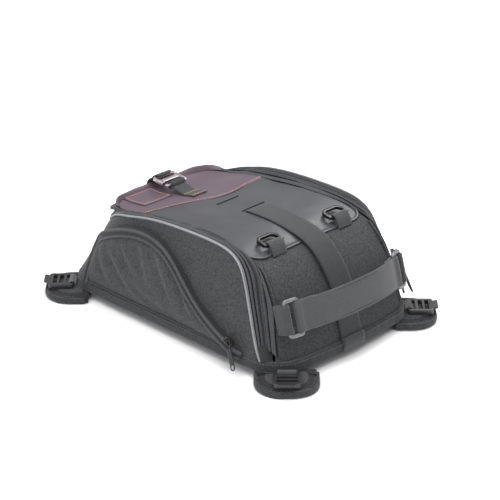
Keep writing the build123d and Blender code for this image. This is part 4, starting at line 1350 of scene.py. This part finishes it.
def puff(piece, cap):
    """Swells a padded piece by cloth simulation, with every point's move capped in millimetres."""
    remesh = piece.modifiers.new("remesh", "REMESH")
    remesh.mode = "VOXEL"
    remesh.voxel_size = PUFF_VOXEL * MM
    bpy.context.view_layer.objects.active = piece
    for other in bpy.context.selected_objects:
        other.select_set(False)
    piece.select_set(True)
    bpy.ops.object.modifier_apply(modifier="remesh")
    before = np.array([v.co for v in piece.data.vertices])
    cloth = piece.modifiers.new("cloth", "CLOTH")
    settings = cloth.settings
    settings.use_pressure = True
    settings.uniform_pressure_force = PUFF_PRESSURE
    settings.tension_stiffness = PUFF_STIFFNESS
    settings.effector_weights.gravity = 0
    settings.quality = 4
    scene = bpy.context.scene
    for step in range(1, PUFF_STEPS + 1):
        scene.frame_set(step)
    shape = piece.evaluated_get(bpy.context.evaluated_depsgraph_get()).to_mesh()
    after = np.array([v.co for v in shape.vertices])
    piece.modifiers.remove(cloth)
    scene.frame_set(1)
    move = after - before
    size = np.linalg.norm(move, axis=1, keepdims=True)
    after = before + move * np.minimum(1, cap * MM / np.maximum(size, 1e-9))
    after[:, 2] = np.maximum(after[:, 2], PUFF_FLOOR * MM)
    piece.data.vertices.foreach_set("co", after.astype(np.float32).ravel())
    smoother = piece.modifiers.new("even", "SMOOTH")
    smoother.factor = 0.5
    smoother.iterations = 3
    bpy.ops.object.modifier_apply(modifier="even")
    piece.data.shade_smooth()


def wing_joint(piece, corner, slot, *replaced):
    """Bakes the transform of a piece of a wing at its sewn root, and hides the CAD nodes that it replaces."""
    place = corner_place(corner)[0]
    start, end = (tuple(place([WING_HINGE + step, 0, 8.0]) * MM) for step in (-7.0, 4.0))
    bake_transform(piece)
    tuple(start)
    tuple(end)
    label_piece(piece, replaced)


WING_START = 34.5
WING_BINDING = [(-4.3, -1.6), (-4.4, 0.6), (-3.4, 1.5), (-1.2, 1.9), (1.2, 1.9), (3.4, 1.5), (4.4, 0.6),
                (4.3, -1.6),
                (3.0, -2.8), (-3.0, -2.8)]
# Middle line of the tab's tape round the buckle's bar, (outwards from the bar, height).
WING_TAB = [(7.5, 12.6), (1.5, 12.3), (-3.0, 12.4), (-4.2, 15.0), (-3.4, 18.6), (0.2, 20.0), (3.3, 18.4),
            (3.9, 15.6),
            (5.4, 13.6), (9.0, 13.9)]


def make_wing(corner):
    """Padded corner wing: base pad, raised middle, bound edge, webbing tab and stitching."""
    place, outward, sideways = corner_place(corner)
    start = WING_START
    pad = filled_slab(f"wing_pad_{corner}", wing_outline(start, 2.2), 0.6, 8.6, 3.0, 0.6, CLOTH_DARK, place)
    puff(pad, 1.2)
    wing_joint(pad, corner, "shell_fabric", f"wing_{corner}")
    raised = filled_slab(f"wing_raised_{corner}", wing_outline(start + 2, 13.0), 7.4, 11.2, 2.0, 1.0, CLOTH,
                         place)
    puff(raised, 1.0)
    wing_joint(raised, corner, "shell_fabric")
    edge = evenly(wing_outline(start + 1, 1.6), 3.0)
    path = np.column_stack([edge, 4.9 + 0.5 * np.sin(edge[:, 1] / 9.0)])
    outwards = np.column_stack([tangents(edge)[:, 1], -tangents(edge)[:, 0], 0 * edge[:, 0]])
    world = outwards[:, :1] * outward + outwards[:, 1:2] * sideways
    binding = sweep(f"wing_binding_{corner}", place(path), world, WING_BINDING, BINDING)
    wing_joint(binding, corner, "shell_fabric")
    line = evenly(wing_outline(WING_HINGE + 4, 5.4), 1.5)
    line = place(np.column_stack([line, np.full(len(line), 9.0)]))
    bead_row(f"wing_{corner}", "shell_fabric", f"wing_stitches_{corner}", line, UP, 4.0, (1.3, 0.36, 0.36), 0.1,
             GREY_THREAD)
    line = smooth([(LADDER_X + a, 0.0, b) for a, b in WING_TAB], 6)
    normals = np.cross(tangents(line), np.array([0, -1.0, 0]))
    world = normals[:, :1] * outward + normals[:, 2:] * UP
    tube(f"wing_{corner}", "webbing", f"wing_tab_webbing_{corner}", place(line), world,
         tape_profile(24.2, 1.3, low=-0.65), WEBBING, f"wing_tab_{corner}")


def make_roots():
    """Sewn roots where the wings run in under the hem."""
    for n, corner in enumerate(CORNERS):
        place = corner_place(corner)[0]
        half = WING_HALF_WIDTH - 3
        outline = np.array([(31.0, -half), (45.0, -half), (45.0, half), (31.0, half)])
        root = filled_slab(f"wing_root_{corner}", outline, 0.4, 10.6, 2.0, 0.1, CLOTH_DARK, place, 2)
        attach(root, "root", "shell_fabric", *(["wing_roots"] if n == 0 else []))


# ---- stage -----------------------------------------------------------------------------------
CAMERA_AIM = np.array([16.2, -5.5, 76.2])
CAMERA_AZIMUTH, CAMERA_ELEVATION, CAMERA_DISTANCE = math.radians(-45), math.radians(25), 2654.0


# Soft boxes: place, aim and size in metres, and power in watts.
SOFT_BOXES = {
    "top_box": ((-0.3, -0.2, 1.9), (0, 0, 0.05), (2.2, 2.2), 52),
    "gleam_box": ((1.30, 0.30, 1.45), (0.02, -0.08, 0.14), (0.9, 0.9), 13),
    "left_box": ((-1.7, -0.9, 0.9), (0, 0, 0.05), (1.2, 0.9), 10),
}
WORLD_STRENGTH, FLOOR_SIZE, FLOOR_DROP = 0.55, 12, 0.0003


def add_area(name, place, aim, size, power):
    """Soft box light."""
    data = bpy.data.lights.new(name, "AREA")
    data.shape = "RECTANGLE"
    data.size, data.size_y = size
    data.energy = power
    light = bpy.data.objects.new(name, data)
    light.location = place
    light.rotation_euler = (Vector(aim) - Vector(place)).to_track_quat("-Z", "Y").to_euler()
    bpy.context.scene.collection.objects.link(light)


def make_stage():
    """Camera, pale floor and soft studio light."""
    a, e = CAMERA_AZIMUTH, CAMERA_ELEVATION
    back = np.array([math.sin(a) * math.cos(e), -math.cos(a) * math.cos(e), math.sin(e)])
    data = bpy.data.cameras.new("camera")
    data.lens, data.sensor_width = 144, 36
    data.clip_end = 20
    camera = bpy.data.objects.new("camera", data)
    camera.location = (CAMERA_AIM + back * CAMERA_DISTANCE) * MM
    camera.rotation_euler = Vector(-back).to_track_quat("-Z", "Y").to_euler()
    bpy.context.scene.collection.objects.link(camera)
    bpy.context.scene.camera = camera

    bpy.ops.mesh.primitive_plane_add(size=FLOOR_SIZE, location=(0, 0, -FLOOR_DROP))
    floor = bpy.context.object
    floor.name = "floor"
    paper = Surface("floor_paper", (0.93, 0.93, 0.94), 0.9, specular=0.1)
    paper.drive("Base Color", paper.tones(paper.noise(6), 0.3, 0.995, 0.7, 1.005))
    floor.data.materials.append(paper.material)

    world = bpy.data.worlds.new("studio")
    world.use_nodes = True
    sky = world.node_tree.nodes["Background"]
    sky.inputs["Color"].default_value = (1.0, 1.0, 1.0, 1)
    sky.inputs["Strength"].default_value = WORLD_STRENGTH
    bpy.context.scene.world = world
    for name, light in SOFT_BOXES.items():
        add_area(name, *light)
    bpy.context.scene.view_settings.view_transform = "Standard"


make_walls()
make_hem()
make_underside()
make_zip()
make_lid()
make_lid_rim()
make_foams()
make_patches()
make_strap()
make_closure()
make_hook_loop()
make_ring_loops()
make_grip()
make_anchors()
make_pocket(-1, "left")
make_pocket(1, "right")
make_pullers()
for corner_name in CORNERS:
    make_wing(corner_name)
make_roots()
for node_name, finish in HARDWARE.items():
    dress(node_name, *finish)
make_stage()
